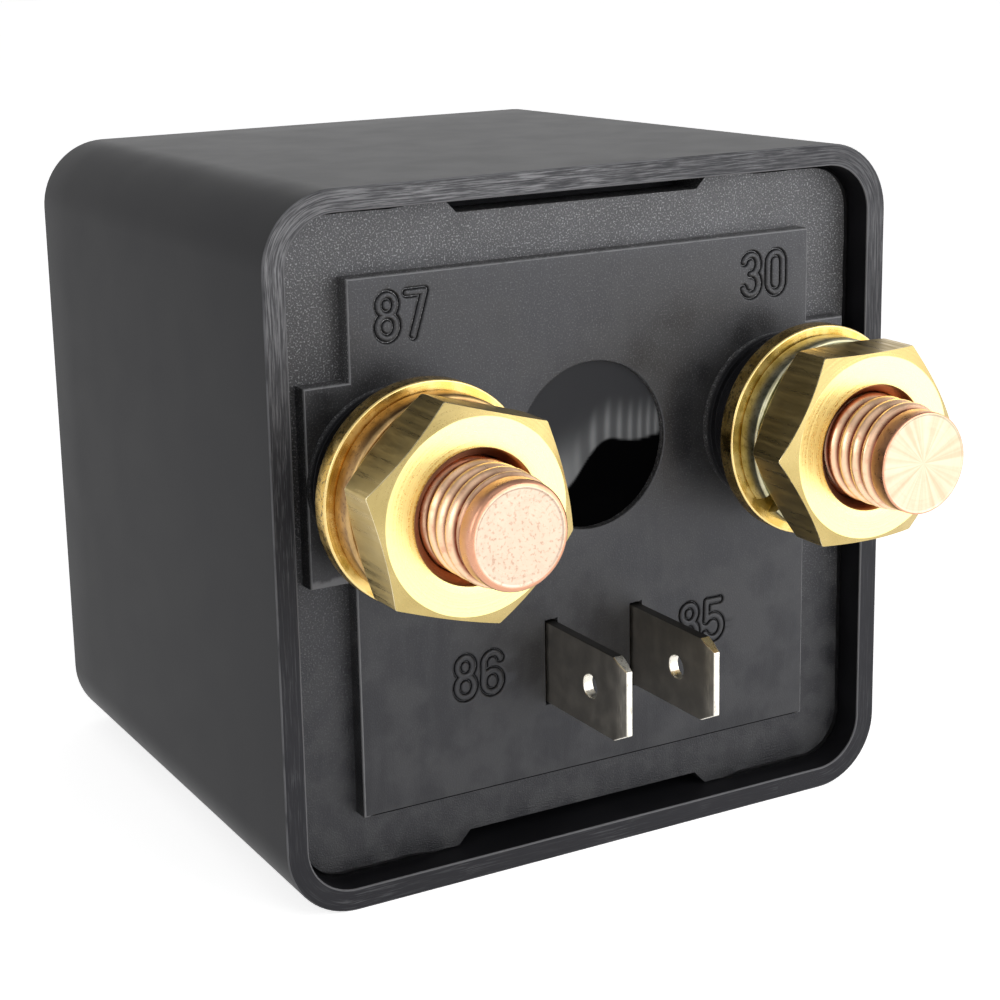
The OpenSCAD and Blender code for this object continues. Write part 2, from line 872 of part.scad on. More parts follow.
case_shell();
header();
header_seal();
casting_plug();
stud_87();
stud_30();
contact_tip_87();
contact_tip_30();
flat_washer_87();
flat_washer_30();
spring_washer_87();
spring_washer_30();
nut_87();
nut_30();
blade_86();
blade_85();
coil_lead_86();
coil_lead_85();
contact_bridge();
bridge_tips();
insulating_bush();
insulating_washer();
contact_spring();
spring_seat();
retaining_clip();
push_rod();
plunger();
return_spring();
fixed_core();
guide_sleeve();
bobbin();
coil_winding();
coil_tape();
pole_plate();
yoke();
frame_screws();
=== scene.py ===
import math

import bmesh
import bpy
import numpy as np
from mathutils import Matrix, Vector


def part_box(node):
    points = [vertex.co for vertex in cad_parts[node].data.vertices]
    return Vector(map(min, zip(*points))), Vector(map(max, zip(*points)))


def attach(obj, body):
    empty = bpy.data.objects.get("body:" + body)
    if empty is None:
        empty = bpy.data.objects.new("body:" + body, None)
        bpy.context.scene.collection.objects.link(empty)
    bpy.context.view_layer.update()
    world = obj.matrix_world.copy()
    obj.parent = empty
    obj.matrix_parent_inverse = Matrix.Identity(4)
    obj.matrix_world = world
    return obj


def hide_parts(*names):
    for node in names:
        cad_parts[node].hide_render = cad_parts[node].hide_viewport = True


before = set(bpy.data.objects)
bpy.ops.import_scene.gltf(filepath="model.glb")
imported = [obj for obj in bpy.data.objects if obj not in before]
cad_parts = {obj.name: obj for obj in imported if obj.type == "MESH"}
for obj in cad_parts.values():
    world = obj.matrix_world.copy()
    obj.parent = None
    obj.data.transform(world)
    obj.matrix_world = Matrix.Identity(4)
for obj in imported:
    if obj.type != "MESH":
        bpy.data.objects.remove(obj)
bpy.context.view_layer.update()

mm = 0.001

# Places taken from the frame, in millimetres. A depth is measured from the rim plane into the case.
caseBox = [np.array(corner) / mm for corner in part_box("case_shell")]
rimY = caseBox[0][1]
caseWidth = caseBox[1][0] - caseBox[0][0]
caseHeight = caseBox[1][2]
caseDepth = caseBox[1][1] - rimY
midZ = caseHeight / 2


def nodeMiddle(node):
    low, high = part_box(node)
    return (np.array(low) + np.array(high)) / 2 / mm


def nodeDepths(node):
    low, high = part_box(node)
    return low[1] / mm - rimY, high[1] / mm - rimY


studX = {"87": nodeMiddle("nut_87")[0], "30": nodeMiddle("nut_30")[0]}
axisZ = nodeMiddle("contact_tip_87")[2]


# Mesh helpers

weldDistance = 2e-7     # metres
arcBorder = 0.35        # edge value of an arc's first and last point
waves = ((1.0, 0.5), (2.37, 0.27), (5.11, 0.15), (11.3, 0.08))      # frequency and gain
waveShift = 1.7


def smoothStep(value):
    value = np.clip(value, 0, 1)
    return value * value * (3 - 2 * value)


def hashWaves(value, seed):
    # Sum of sines with fixed odd frequencies: a repeatable wobble between -1 and 1
    total = np.zeros_like(value, dtype=float)
    for frequency, gain in waves:
        total += gain * np.sin(value * frequency + seed * (waveShift + frequency))
    return total


def runLength(path):
    # Length of the path up to each of its points
    return np.concatenate([[0], np.cumsum(np.linalg.norm(np.diff(path, axis=0), axis=1))])


def gridFaces(rows, cols, wrapRows, wrapCols):
    # Quads between neighbouring rows and columns of a grid of points
    r = np.arange(rows if wrapRows else rows - 1)[:, None]
    c = np.arange(cols if wrapCols else cols - 1)[None, :]
    nextR, nextC = (r + 1) % rows, (c + 1) % cols
    quads = [r * cols + c, r * cols + nextC, nextR * cols + nextC, nextR * cols + c]
    return np.stack([q + 0 * r + 0 * c for q in quads], -1).reshape(-1, 4)


def sheet(points, wrapRows=False, wrapCols=False, keep=None, **values):
    # One grid of points in millimetres with its per-point values
    return dict(points=points, wrapRows=wrapRows, wrapCols=wrapCols, keep=keep, values=values)


def smoothFaces(mesh, sharpDeg):
    mesh.polygons.foreach_set("use_smooth", np.ones(len(mesh.polygons), dtype=bool))
    mesh.set_sharp_from_angle(angle=math.radians(sharpDeg))


def buildMesh(name, sheets, sharpDeg=34, outward=True):
    # Joins the sheets, merges doubled points, turns the faces outwards and marks the sharp edges
    verts, faces, start = [], [], 0
    names = sorted({key for s in sheets for key in s["values"]})
    values = {key: [] for key in names}
    for s in sheets:
        rows, cols = s["points"].shape[:2]
        quads = gridFaces(rows, cols, s["wrapRows"], s["wrapCols"])
        if s["keep"] is not None:
            quads = quads[s["keep"].reshape(-1)]
        verts.append(s["points"].reshape(-1, 3))
        faces.append(quads + start)
        for key in names:
            given = s["values"].get(key, 0.0)
            values[key].append(np.broadcast_to(given, (rows, cols)).reshape(-1))
        start += rows * cols
    mesh = bpy.data.meshes.new(name)
    mesh.from_pydata(np.concatenate(verts) * mm, [], np.concatenate(faces))
    for key in names:
        layer = mesh.attributes.new(key, "FLOAT", "POINT")
        layer.data.foreach_set("value", np.concatenate(values[key]).astype(np.float32))
    work = bmesh.new()
    work.from_mesh(mesh)
    bmesh.ops.remove_doubles(work, verts=work.verts, dist=weldDistance)
    bmesh.ops.dissolve_degenerate(work, edges=work.edges, dist=weldDistance / 2)
    loose = [v for v in work.verts if not v.link_faces]
    bmesh.ops.delete(work, geom=loose, context="VERTS")
    if outward:
        bmesh.ops.recalc_face_normals(work, faces=work.faces)
    work.to_mesh(mesh)
    work.free()
    smoothFaces(mesh, sharpDeg)
    return mesh


def addPiece(name, mesh, body, replaced, material):
    # Links the mesh as an object at the origin and ties it to its body, node and slot
    piece = bpy.data.objects.new(name, mesh)
    bpy.context.scene.collection.objects.link(piece)
    mesh.materials.append(material)
    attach(piece, body)
    if replaced:
        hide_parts(*replaced)
    print("made", name, len(mesh.polygons), "faces")
    return piece


def filletPath(corners, radii, steps=6, closed=True):
    # A path through the corners with each corner replaced by an arc of its radius: the arc's ends lie
    # radius / tan(half the inner angle) along both sides. Returns the points and 1 on arcs, 0 on ends.
    corners = np.asarray(corners, float)
    count = len(corners)
    points, edge = [], []
    for i in range(count):
        here = corners[i]
        if not closed and i in (0, count - 1) or radii[i] <= 0:
            points.append(here[None])
            edge.append([0.0])
            continue
        back = corners[i - 1] - here
        ahead = corners[(i + 1) % count] - here
        back, ahead = back / np.linalg.norm(back), ahead / np.linalg.norm(ahead)
        half = math.acos(np.clip(back @ ahead, -1, 1)) / 2
        reach = radii[i] / math.tan(half)
        middle = here + (back + ahead) / np.linalg.norm(back + ahead) * radii[i] / math.sin(half)
        first, last = here + back * reach - middle, here + ahead * reach - middle
        turn = math.atan2(first[0] * last[1] - first[1] * last[0], first @ last)
        angles = np.linspace(0, turn, steps + 1)
        arc = middle + np.stack([
            first[0] * np.cos(angles) - first[1] * np.sin(angles),
            first[0] * np.sin(angles) + first[1] * np.cos(angles)], -1)
        points.append(arc)
        edge.append(np.where((angles == 0) | (angles == turn), arcBorder, 1.0))
    return np.concatenate(points), np.concatenate(edge)


def aroundAxis(x, depth, radius, angle):
    # Points at a radius and an angle round the line along Y through (x, axisZ)
    across, up = radius * np.cos(angle), radius * np.sin(angle)
    return np.stack([x + across, rimY + depth + 0 * angle, axisZ + up], -1)


def turnedPoints(depths, radii, x, steps):
    # A profile of depths and radii carried round the line along Y through (x, axisZ)
    angles = np.linspace(0, 2 * np.pi, steps, endpoint=False)[None, :]
    return aroundAxis(x, np.asarray(depths)[:, None], np.asarray(radii)[:, None], angles)


# Shared shader groups. Each puts out only values and masks.

fineDetail, plainDetail, broadDetail = 2.0, 3.0, 4.0
plainNoise = 0.55       # roughness of the noise in the materials
nodeLayout = dict(left=-900, across=190, down=170, rows=4)


class Wiring:
    # Adds nodes to a tree from left to right and links them by socket name
    def __init__(self, tree):
        self.tree = tree
        self.count = 0

    def feed(self, socket, value):
        # A number or a colour is set on the socket, and an output is linked to it
        if isinstance(value, (int, float)):
            socket.default_value = value
        elif isinstance(value, tuple):
            socket.default_value = (*value, 1)
        else:
            self.tree.links.new(value, socket)

    def node(self, kind, links=None, **settings):
        made = self.tree.nodes.new(kind)
        row = self.count % nodeLayout["rows"]
        made.location = (nodeLayout["left"] + self.count * nodeLayout["across"], -row * nodeLayout["down"])
        self.count += 1
        for key, value in settings.items():
            setattr(made, key, value)
        for target, source in (links or {}).items():
            self.feed(made.inputs[target], source)
        return made

    def math(self, operation, first, second=None):
        made = self.node("ShaderNodeMath", operation=operation)
        self.feed(made.inputs[0], first)
        if second is not None:
            self.feed(made.inputs[1], second)
        return made.outputs[0]

    def times(self, first, *others):
        for other in others:
            first = self.math("MULTIPLY", first, other)
        return first

    def plus(self, first, second):
        return self.math("ADD", first, second)

    def noise(self, vector, scale, detail=plainDetail, rough=plainNoise):
        given = {"Vector": vector, "Scale": scale, "Detail": detail, "Roughness": rough}
        return self.node("ShaderNodeTexNoise", given).outputs["Fac"]

    def lineNoise(self, value, scale, detail):
        # Noise over one value only
        given = {"W": value, "Scale": scale, "Detail": detail}
        return self.node("ShaderNodeTexNoise", given, noise_dimensions="1D").outputs["Fac"]

    def ramp(self, value, low, high, outLow=0.0, outHigh=1.0):
        made = self.node("ShaderNodeMapRange", {"Value": value}, interpolation_type="SMOOTHSTEP")
        for i, number in enumerate((low, high, outLow, outHigh)):
            made.inputs[i + 1].default_value = number
        return made.outputs["Result"]

    def blend(self, factor, first, second):
        # Inputs 0, 6 and 7 are the factor and the two colours
        made = self.node("ShaderNodeMix", {0: factor}, data_type="RGBA")
        self.feed(made.inputs[6], first)
        self.feed(made.inputs[7], second)
        return made.outputs[2]

    def value(self, name):
        made = self.node("ShaderNodeAttribute", attribute_name=name, attribute_type="GEOMETRY")
        return made.outputs["Fac"]

    def place(self):
        return self.node("ShaderNodeTexCoord").outputs["Object"]

    def parts(self, vector):
        return self.node("ShaderNodeSeparateXYZ", {"Vector": vector}).outputs

    def streaks(self, vector, stretch, detail=plainDetail):
        # Noise of another scale along each axis
        made = self.node("ShaderNodeMapping", {"Vector": vector})
        made.inputs["Scale"].default_value = stretch
        return self.noise(made.outputs[0], 1.0, detail)

    def bump(self, height, strength, distance):
        given = {"Height": height, "Strength": strength, "Distance": distance}
        return self.node("ShaderNodeBump", given).outputs["Normal"]


groupNoise = 0.5        # roughness of the noise in the groups
grainSetup = dict(speckSpan=(0.52, 0.72), broadShare=0.35)
wearAndGlintSetup = dict(coverShare=0.5, maskSpan=(0.42, 0.72))
ringScale = 1.0


def makeGroup(name, inputs, outputs, fill):
    # A node tree with vectors and numbers in, and the sockets that fill returns out
    group = bpy.data.node_groups.new(name, "ShaderNodeTree")
    for label, start in inputs.items():
        kind = "NodeSocketVector" if start is None else "NodeSocketFloat"
        socket = group.interface.new_socket(label, in_out="INPUT", socket_type=kind)
        if start is not None:
            socket.default_value = start
    for label in outputs:
        group.interface.new_socket(label, in_out="OUTPUT", socket_type="NodeSocketFloat")
    w = Wiring(group)
    made = fill(w, w.node("NodeGroupInput").outputs)
    w.node("NodeGroupOutput", dict(zip(outputs, made)))
    return group


def fillGrain(w, given):
    # Moulded or sparked grain: two sizes of noise for the height, and rare bright specks
    fine = w.noise(given["Vector"], given["Grain"], fineDetail, groupNoise)
    broad = w.noise(given["Vector"], given["Mottle"], broadDetail, groupNoise)
    height = w.plus(fine, w.times(broad, grainSetup["broadShare"]))
    return height, w.ramp(fine, *grainSetup["speckSpan"]), broad


def fillWearAndGlint(w, given):
    # Edge wear and a painted highlight: the edge value broken up by noise, so that the bright line on the
    # edges comes and goes
    patches = w.noise(given["Vector"], given["Scale"], plainDetail, groupNoise)
    raised = w.plus(patches, w.times(given["Cover"], wearAndGlintSetup["coverShare"]))
    return [w.ramp(w.times(raised, given["Edge"]), *wearAndGlintSetup["maskSpan"])]


def fillTurning(w, given):
    # Turning marks: noise read only by the distance from a line along Y through the centre
    ends = {0: given["Vector"], 1: given["Centre"]}
    away = w.parts(w.node("ShaderNodeVectorMath", ends, operation="SUBTRACT").outputs[0])
    flat = w.node("ShaderNodeCombineXYZ", {"X": away["X"], "Y": away["Z"]})
    radius = w.node("ShaderNodeVectorMath", {0: flat.outputs[0]}, operation="LENGTH").outputs["Value"]
    rings = w.lineNoise(w.times(radius, given["Lines"]), ringScale, plainDetail)
    return rings, w.math("ARCTAN2", away["Z"], away["X"])


grainGroup = makeGroup("mouldGrain", {"Vector": None, "Grain": 5200.0, "Mottle": 420.0},
                       ["Height", "Specks", "Mottle"], fillGrain)
wearAndGlintGroup = makeGroup("edgeWearAndGlint", {"Vector": None, "Edge": 0.0, "Scale": 900.0, "Cover": 0.5},
                      ["Mask"], fillWearAndGlint)
turningGroup = makeGroup("turningMarks", {"Vector": None, "Centre": None, "Lines": 5000.0},
                         ["Height", "Turn"], fillTurning)
print("shader groups made")


# Materials. A span is a ramp's low and high end, and where it has four numbers, what it gives there.

def newMaterial(name, **settings):
    material = bpy.data.materials.new(name)
    material.use_nodes = True
    shader = material.node_tree.nodes["Principled BSDF"]
    w = Wiring(material.node_tree)
    for label, value in settings.items():
        w.feed(shader.inputs[label.replace("_", " ")], value)
    return material, shader, w


def useGroup(w, group, **given):
    return w.node("ShaderNodeGroup", given, node_tree=group).outputs


def turnedMarks(w, at, x, lines):
    centre = w.node("ShaderNodeCombineXYZ", {"X": x * mm, "Z": axisZ * mm}).outputs[0]
    return useGroup(w, turningGroup, Vector=at, Centre=centre, Lines=lines)


def wornAndGlintEdges(w, at, tone, wearAndGlint):
    # Edge wear mixed with a painted highlight along the edges
    wearAndGlintMask = useGroup(w, wearAndGlintGroup, Vector=at, Edge=w.value("edge"), Scale=wearAndGlint["scale"], Cover=wearAndGlint["cover"])
    return w.blend(w.times(wearAndGlintMask["Mask"], wearAndGlint["amount"]), tone, wearAndGlint["tone"])


def finishShader(w, shader, colour, roughness, normal):
    for label, source in (("Base Color", colour), ("Roughness", roughness), ("Normal", normal)):
        if source is not None:
            w.feed(shader.inputs[label], source)


sheenTint = (0.92, 0.93, 1.0)
casePlasticLook = dict(
    specular=0.085, dark=(0.008, 0.008, 0.0095), light=(0.011, 0.011, 0.013), grain=5200.0, mottle=260.0,
    mottleSpan=(0.35, 0.7), roughSpan=(0.3, 0.75, 0.42, 0.45), bump=(0.3, 0.000012), lineHeight=1.5,
    # The rim's pale line tone and scratch tone are painted highlights, laid on most at the top and left
    rimTone=(0.034, 0.034, 0.038), rimHighlight=(0.27, 0.27, 0.28), scratchGlintTone=(0.34, 0.34, 0.355),
    alongScale=0.12, acrossScale=2.6, lineScale=3.0, lineDetail=4.0, lineRough=0.65, patchScale=120.0,
    patchSpan=(0.4, 0.65, 0.25, 1.0), topLightSpan=(0.03, 0.05, 0.3, 1.0), leftLightSpan=(-0.02, 0.015, 1.0, 0.45),
    rimHighlightSpan=(0.38, 0.6, 0.25, 1.0), scratchSpan=(0.48, 0.68), scratchAmount=0.9,
    wearAndGlint=dict(scale=260.0, cover=0.75, amount=0.7, tone=(0.2, 0.2, 0.21)))


def makeCasePlastic(look):
    material, shader, w = newMaterial(
        "casePlastic", Specular_IOR_Level=look["specular"], Specular_Tint=sheenTint)
    at = w.place()
    grain = useGroup(w, grainGroup, Vector=at, Grain=look["grain"], Mottle=look["mottle"])
    tone = w.blend(w.ramp(grain["Mottle"], *look["mottleSpan"]), look["dark"], look["light"])
    # Fine lines that run along the rim, from its length and width values
    along = w.times(w.value("along"), look["alongScale"])
    across = w.times(w.value("across"), look["acrossScale"])
    run = w.node("ShaderNodeCombineXYZ", {"X": along, "Y": across}).outputs[0]
    lines = w.noise(run, look["lineScale"], look["lineDetail"], look["lineRough"])
    # Painted highlight: the pale lines and the scratches on the rim are strongest along the top and on the
    # left, where the light falls
    parts = w.parts(at)
    high = w.ramp(parts["Z"], *look["topLightSpan"])
    leftLight = w.ramp(parts["X"], *look["leftLightSpan"])
    patches = w.times(w.ramp(w.noise(at, look["patchScale"]), *look["patchSpan"]), high, leftLight)
    rimHighlightLines = w.times(w.math("SUBTRACT", high, look["topLightSpan"][2]), leftLight, w.ramp(lines, *look["rimHighlightSpan"]))
    scratch = w.times(w.ramp(lines, *look["scratchSpan"]), w.value("rim"), patches, look["scratchAmount"])
    tone = w.blend(w.value("rim"), tone, w.blend(rimHighlightLines, look["rimTone"], look["rimHighlight"]))
    tone = wornAndGlintEdges(w, at, w.blend(scratch, tone, look["scratchGlintTone"]), look["wearAndGlint"])
    rough = w.ramp(grain["Mottle"], *look["roughSpan"])
    height = w.plus(grain["Height"], w.times(w.value("rim"), look["lineHeight"], lines))
    finishShader(w, shader, tone, rough, w.bump(height, *look["bump"]))
    return material


headerPlasticLook = dict(
    specularSpan=(0.2, 1.0, 0.46, 0.03), dark=(0.006, 0.006, 0.007), light=(0.028, 0.028, 0.029),
    grain=7800.0, mottleSpan=(0.38, 0.64), roughSpan=(0.3, 0.75, 0.33, 0.52),
    # The high tone over its height span is a painted sheen towards the top; the speck span and low specks
    # show the specks more towards the top, painted light as well
    streakStretch=(900.0, 1.0, 160.0), streakSpan=(0.4, 0.8, 0.0, 0.5), high=(0.075, 0.075, 0.077),
    topSheenSpan=(0.012, 0.05),
    speck=(0.36, 0.36, 0.37), speckSpan=(0.008, 0.046), lowSpecks=0.08, bossDepths=(0.2, 0.7),
    grooveShadeTone=(0.003, 0.003, 0.004), bossShadeTone=(0.004, 0.004, 0.005), bumpDistance=0.00005,
    wearAndGlint=dict(scale=1100.0, cover=0.6, amount=0.6, tone=(0.3, 0.3, 0.31)))
frameFinish = dict(specks=1.0, mottle=500.0, bumpStrength=1.0, topSheenShare=0.85)
panelFinish = dict(specks=0.2, mottle=260.0, bumpStrength=0.4, topSheenShare=0.2)


def makeHeaderPlastic(name, look, finish):
    # Painted light: the face is paler and more speckled towards the top, where the light falls
    material, shader, w = newMaterial(name, Specular_Tint=sheenTint)
    at = w.place()
    grain = useGroup(w, grainGroup, Vector=at, Grain=look["grain"], Mottle=finish["mottle"])
    tone = w.blend(w.ramp(grain["Mottle"], *look["mottleSpan"]), look["dark"], look["light"])
    streak = w.streaks(at, look["streakStretch"])
    tone = w.blend(w.ramp(streak, *look["streakSpan"]), tone, look["light"])
    parts = w.parts(at)
    tone = w.blend(w.ramp(parts["Z"], *look["topSheenSpan"], 0.0, finish["topSheenShare"]), tone, look["high"])
    # Painted shade: the bosses stand out in front of the panel and stay dark, as in the shade of the washers
    bossFront, bossFoot = ((rimY + depth) * mm for depth in look["bossDepths"])
    behind = w.ramp(parts["Y"], bossFront, bossFoot)
    specks = finish["specks"]
    speckTopLight = w.ramp(parts["Z"], *look["speckSpan"], look["lowSpecks"] * specks, specks)
    tone = w.blend(w.times(grain["Specks"], speckTopLight, behind), tone, look["speck"])
    # Painted shade in the numbers' grooves and along the panel's lower border
    tone = w.blend(w.value("recess"), tone, look["grooveShadeTone"])
    tone = wornAndGlintEdges(w, at, w.blend(behind, look["bossShadeTone"], tone), look["wearAndGlint"])
    w.feed(shader.inputs["Specular IOR Level"], w.ramp(w.value("recess"), *look["specularSpan"]))
    rough = w.math("MAXIMUM", w.ramp(grain["Mottle"], *look["roughSpan"]), w.value("recess"))
    normal = w.bump(grain["Height"], finish["bumpStrength"], look["bumpDistance"])
    finishShader(w, shader, tone, rough, normal)
    return material


sealantLook = dict(
    roughness=0.42, specular=0.35, scale=1600.0, toneSpan=(0.4, 0.7), dark=(0.003, 0.003, 0.0035),
    light=(0.009, 0.009, 0.01), bump=(0.5, 0.0001))


def makeSealant(look):
    material, shader, w = newMaterial(
        "sealant", Roughness=look["roughness"], Specular_IOR_Level=look["specular"])
    lumps = w.noise(w.place(), look["scale"])
    tone = w.blend(w.ramp(lumps, *look["toneSpan"]), look["dark"], look["light"])
    finishShader(w, shader, tone, None, w.bump(lumps, *look["bump"]))
    return material


# The pool, skin and flow tones are painted reflection: black for the pool, pale grey for the skin and its
# highlight lines
compoundLook = dict(
    poolReflection=(0.0008, 0.0008, 0.001), skin=(0.036, 0.037, 0.041), flow=(0.3, 0.31, 0.32), whole=(0.0, 1.0),
    roughness=(0.12, 0.4), specular=(0.002, 0.06), noiseScale=900.0, bump=(0.08, 0.00005))


def makeCompound(look):
    # Cast resin with painted reflection: a duller skin painted pale, with painted highlight lines, above a
    # glossy pool painted black, parted by a wavy edge
    material, shader, w = newMaterial("castCompound")
    skin = w.value("skin")
    tone = w.blend(skin, look["poolReflection"], look["skin"])
    tone = w.blend(w.times(w.value("flow"), skin), tone, look["flow"])
    rough = w.ramp(skin, *look["whole"], *look["roughness"])
    w.feed(shader.inputs["Specular IOR Level"], w.ramp(skin, *look["whole"], *look["specular"]))
    fine = w.noise(w.place(), look["noiseScale"], fineDetail)
    finishShader(w, shader, tone, rough, w.bump(fine, *look["bump"]))
    return material


# Painted light: the face tones are lit brass and the side tones the same brass in shade; the dark red-brown
# tone is painted shade in the bore and countersink
nutBrassLook = dict(
    face=(0.94, 0.84, 0.34), paleFace=(0.97, 0.88, 0.38), side=(0.46, 0.34, 0.13),
    paleSide=(0.54, 0.41, 0.17), deep=(0.24, 0.08, 0.03), stain=(0.85, 0.68, 0.32), lines=7000.0,
    drawnStretch=(9000.0, 700.0, 9000.0),
    stainScale=330.0, sideSpan=(0.35, 0.7), frontSpan=(0.35, 0.75), stainSpan=(0.62, 0.75, 0.0, 0.35),
    faceSpan=(0.1, 1.0), turnedRough=(0.3, 0.8, 0.24, 0.4), drawnRough=(0.3, 0.8, 0.0, 0.12),
    bump=(0.12, 0.00002), wearAndGlint=dict(scale=800.0, cover=0.8, amount=1.0, tone=(0.98, 0.88, 0.58)))


def makeNutBrass(name, x, look):
    # A turned face and chamfer, and sides drawn along the bar. Painted light: the face is painted as lit
    # brass, the sides as brass in shade, the chamfer mostly as the sides, and the bore and countersink dark
    # with painted shade
    material, shader, w = newMaterial(name, Metallic=1.0)
    at = w.place()
    marks = turnedMarks(w, at, x, look["lines"])
    face = w.value("face")
    drawn = w.streaks(at, look["drawnStretch"])
    stain = w.noise(at, look["stainScale"], broadDetail)
    side = w.blend(w.ramp(stain, *look["sideSpan"]), look["side"], look["paleSide"])
    front = w.blend(w.ramp(marks["Height"], *look["frontSpan"]), look["face"], look["paleFace"])
    front = w.blend(w.ramp(stain, *look["stainSpan"]), front, look["stain"])
    tone = w.blend(w.ramp(face, *look["faceSpan"]), side, front)
    tone = wornAndGlintEdges(w, at, w.blend(w.value("deep"), tone, look["deep"]), look["wearAndGlint"])
    rough = w.plus(w.ramp(marks["Height"], *look["turnedRough"]), w.ramp(drawn, *look["drawnRough"]))
    height = w.blend(face, drawn, marks["Height"])
    finishShader(w, shader, tone, rough, w.bump(height, *look["bump"]))
    return material


turnedMetalLook = dict(
    lines=4000.0, scale=900.0, toneSpan=(0.35, 0.7), speckScale=3600.0, speckSpan=(0.5, 0.66),
    roughSpan=(0.3, 0.8), bump=(0.18, 0.00004), wearScale=700.0, wearCover=0.9, wearTone=(0.9, 0.72, 0.34))
washerBrassLook = dict(
    dark=(0.66, 0.42, 0.1), light=(0.84, 0.6, 0.22), speck=(0.16, 0.11, 0.04), speckAmount=0.85,
    roughness=(0.22, 0.36), wearAndGlint=0.6)
lockLooks = {
    "87": dict(name="lockBronze", dark=(0.3, 0.17, 0.07), light=(0.5, 0.31, 0.13), speck=(0.12, 0.06, 0.03),
               speckAmount=0.6, roughness=(0.32, 0.46), wearAndGlint=0.12),
    "30": dict(name="lockZinc", dark=(0.3, 0.31, 0.22), light=(0.48, 0.49, 0.4), speck=(0.14, 0.14, 0.09),
               speckAmount=0.6, roughness=(0.32, 0.46), wearAndGlint=0.2)}


def makeTurnedMetal(name, x, own, look=turnedMetalLook):
    # Metal rings: base tones by noise, dark specks on the outer rim, faint turned lines
    material, shader, w = newMaterial(name, Metallic=1.0)
    at = w.place()
    marks = turnedMarks(w, at, x, look["lines"])
    patches = w.noise(at, look["scale"], broadDetail)
    tone = w.blend(w.ramp(patches, *look["toneSpan"]), own["dark"], own["light"])
    specks = w.ramp(w.noise(at, look["speckScale"], fineDetail), *look["speckSpan"])
    tone = w.blend(w.times(w.value("rimFace"), own["speckAmount"], specks), tone, own["speck"])
    tone = wornAndGlintEdges(w, at, tone, dict(
        scale=look["wearScale"], cover=look["wearCover"], amount=own["wearAndGlint"], tone=look["wearTone"]))
    rough = w.ramp(patches, *look["roughSpan"], *own["roughness"])
    finishShader(w, shader, tone, rough, w.bump(w.plus(marks["Height"], patches), *look["bump"]))
    return material


studCopperLook = dict(
    crest=(0.98, 0.64, 0.42), valleyShade=(0.15, 0.03, 0.015), tarnish=(0.55, 0.22, 0.13), lead=(0.62, 0.29, 0.18),
    lines=5200.0, crestSpan=(0.2, 0.7), tarnishScale=1500.0, tarnishSpan=(0.5, 0.75, 0.0, 0.45),
    roughSpan=(0.3, 0.8, 0.26, 0.42), faceRough=0.1, lineHeight=0.6, bump=(0.25, 0.00005))
# The end faces: pale with small pits on 87, rays from the parting cut on 30
pittedEnd = dict(light=(0.58, 0.45, 0.35), dark=(0.46, 0.31, 0.23), scale=3600.0, span=(0.52, 0.68))
rayedEnd = dict(
    light=(0.55, 0.5, 0.37), dark=(0.49, 0.39, 0.27), rays=2.3, scale=1.6, detail=2.0, span=(0.35, 0.7))


def makeStudCopper(name, x, look, end):
    material, shader, w = newMaterial(name, Metallic=1.0)
    at = w.place()
    marks = turnedMarks(w, at, x, look["lines"])
    tarnish = w.noise(at, look["tarnishScale"], broadDetail)
    # Painted light: the crests are copper lifted into a painted highlight, the valleys dark red-brown with
    # painted shade in the groove and a rust tint
    tone = w.blend(w.ramp(w.value("crest"), *look["crestSpan"]), look["valleyShade"], look["crest"])
    tone = w.blend(w.ramp(tarnish, *look["tarnishSpan"]), tone, look["tarnish"])
    tone = w.blend(w.value("lead"), tone, look["lead"])
    if "rays" in end:
        pattern = w.lineNoise(w.times(marks["Turn"], end["rays"]), end["scale"], end["detail"])
    else:
        pattern = w.noise(at, end["scale"])
    cut = w.blend(w.ramp(pattern, *end["span"]), end["light"], end["dark"])
    tone = w.blend(w.value("endFace"), tone, cut)
    rough = w.plus(w.ramp(tarnish, *look["roughSpan"]), w.times(w.value("endFace"), look["faceRough"]))
    height = w.plus(tarnish, w.times(marks["Height"], look["lineHeight"]))
    finishShader(w, shader, tone, rough, w.bump(height, *look["bump"]))
    return material


bladeLook = dict(
    dark=(0.48, 0.45, 0.395), light=(0.6, 0.56, 0.49), coined=(0.74, 0.7, 0.61), cut=(0.86, 0.84, 0.76),
    longEdge=(0.09, 0.085, 0.075), scratch=(0.35, 0.32, 0.26), scale=700.0, toneSpan=(0.3, 0.75),
    brushedStretch=(1.0, 14000.0, 900.0), brushedSpan=(0.45, 0.7), scratchStretch=(4000.0, 4000.0, 900.0),
    scratchSpan=(0.56, 0.64), scratchAmount=0.5, roughSpan=(0.3, 0.8, 0.32, 0.4), cutRough=-0.1,
    bump=(0.15, 0.000015))


def makeBladeMetal(look):
    # Tinned brass: dull faces with fine cross lines near the tip, bright cuts at the tip, and long edges
    # painted dark as shade
    material, shader, w = newMaterial("bladeMetal", Metallic=1.0)
    at = w.place()
    cloud = w.noise(at, look["scale"], broadDetail)
    brushed = w.streaks(at, look["brushedStretch"])
    tone = w.blend(w.ramp(cloud, *look["toneSpan"]), look["dark"], look["light"])
    tone = w.blend(w.times(w.ramp(brushed, *look["brushedSpan"]), w.value("coined")), tone, look["coined"])
    tone = w.blend(w.value("cut"), tone, look["cut"])
    # Painted shade on the long edges
    tone = w.blend(w.value("longEdge"), tone, look["longEdge"])
    scratch = w.ramp(w.streaks(at, look["scratchStretch"], fineDetail), *look["scratchSpan"])
    tone = w.blend(w.times(w.value("cut"), look["scratchAmount"], scratch), tone, look["scratch"])
    rough = w.plus(w.ramp(cloud, *look["roughSpan"]), w.times(w.value("cut"), look["cutRough"]))
    finishShader(w, shader, tone, rough, w.bump(w.plus(cloud, brushed), *look["bump"]))
    return material


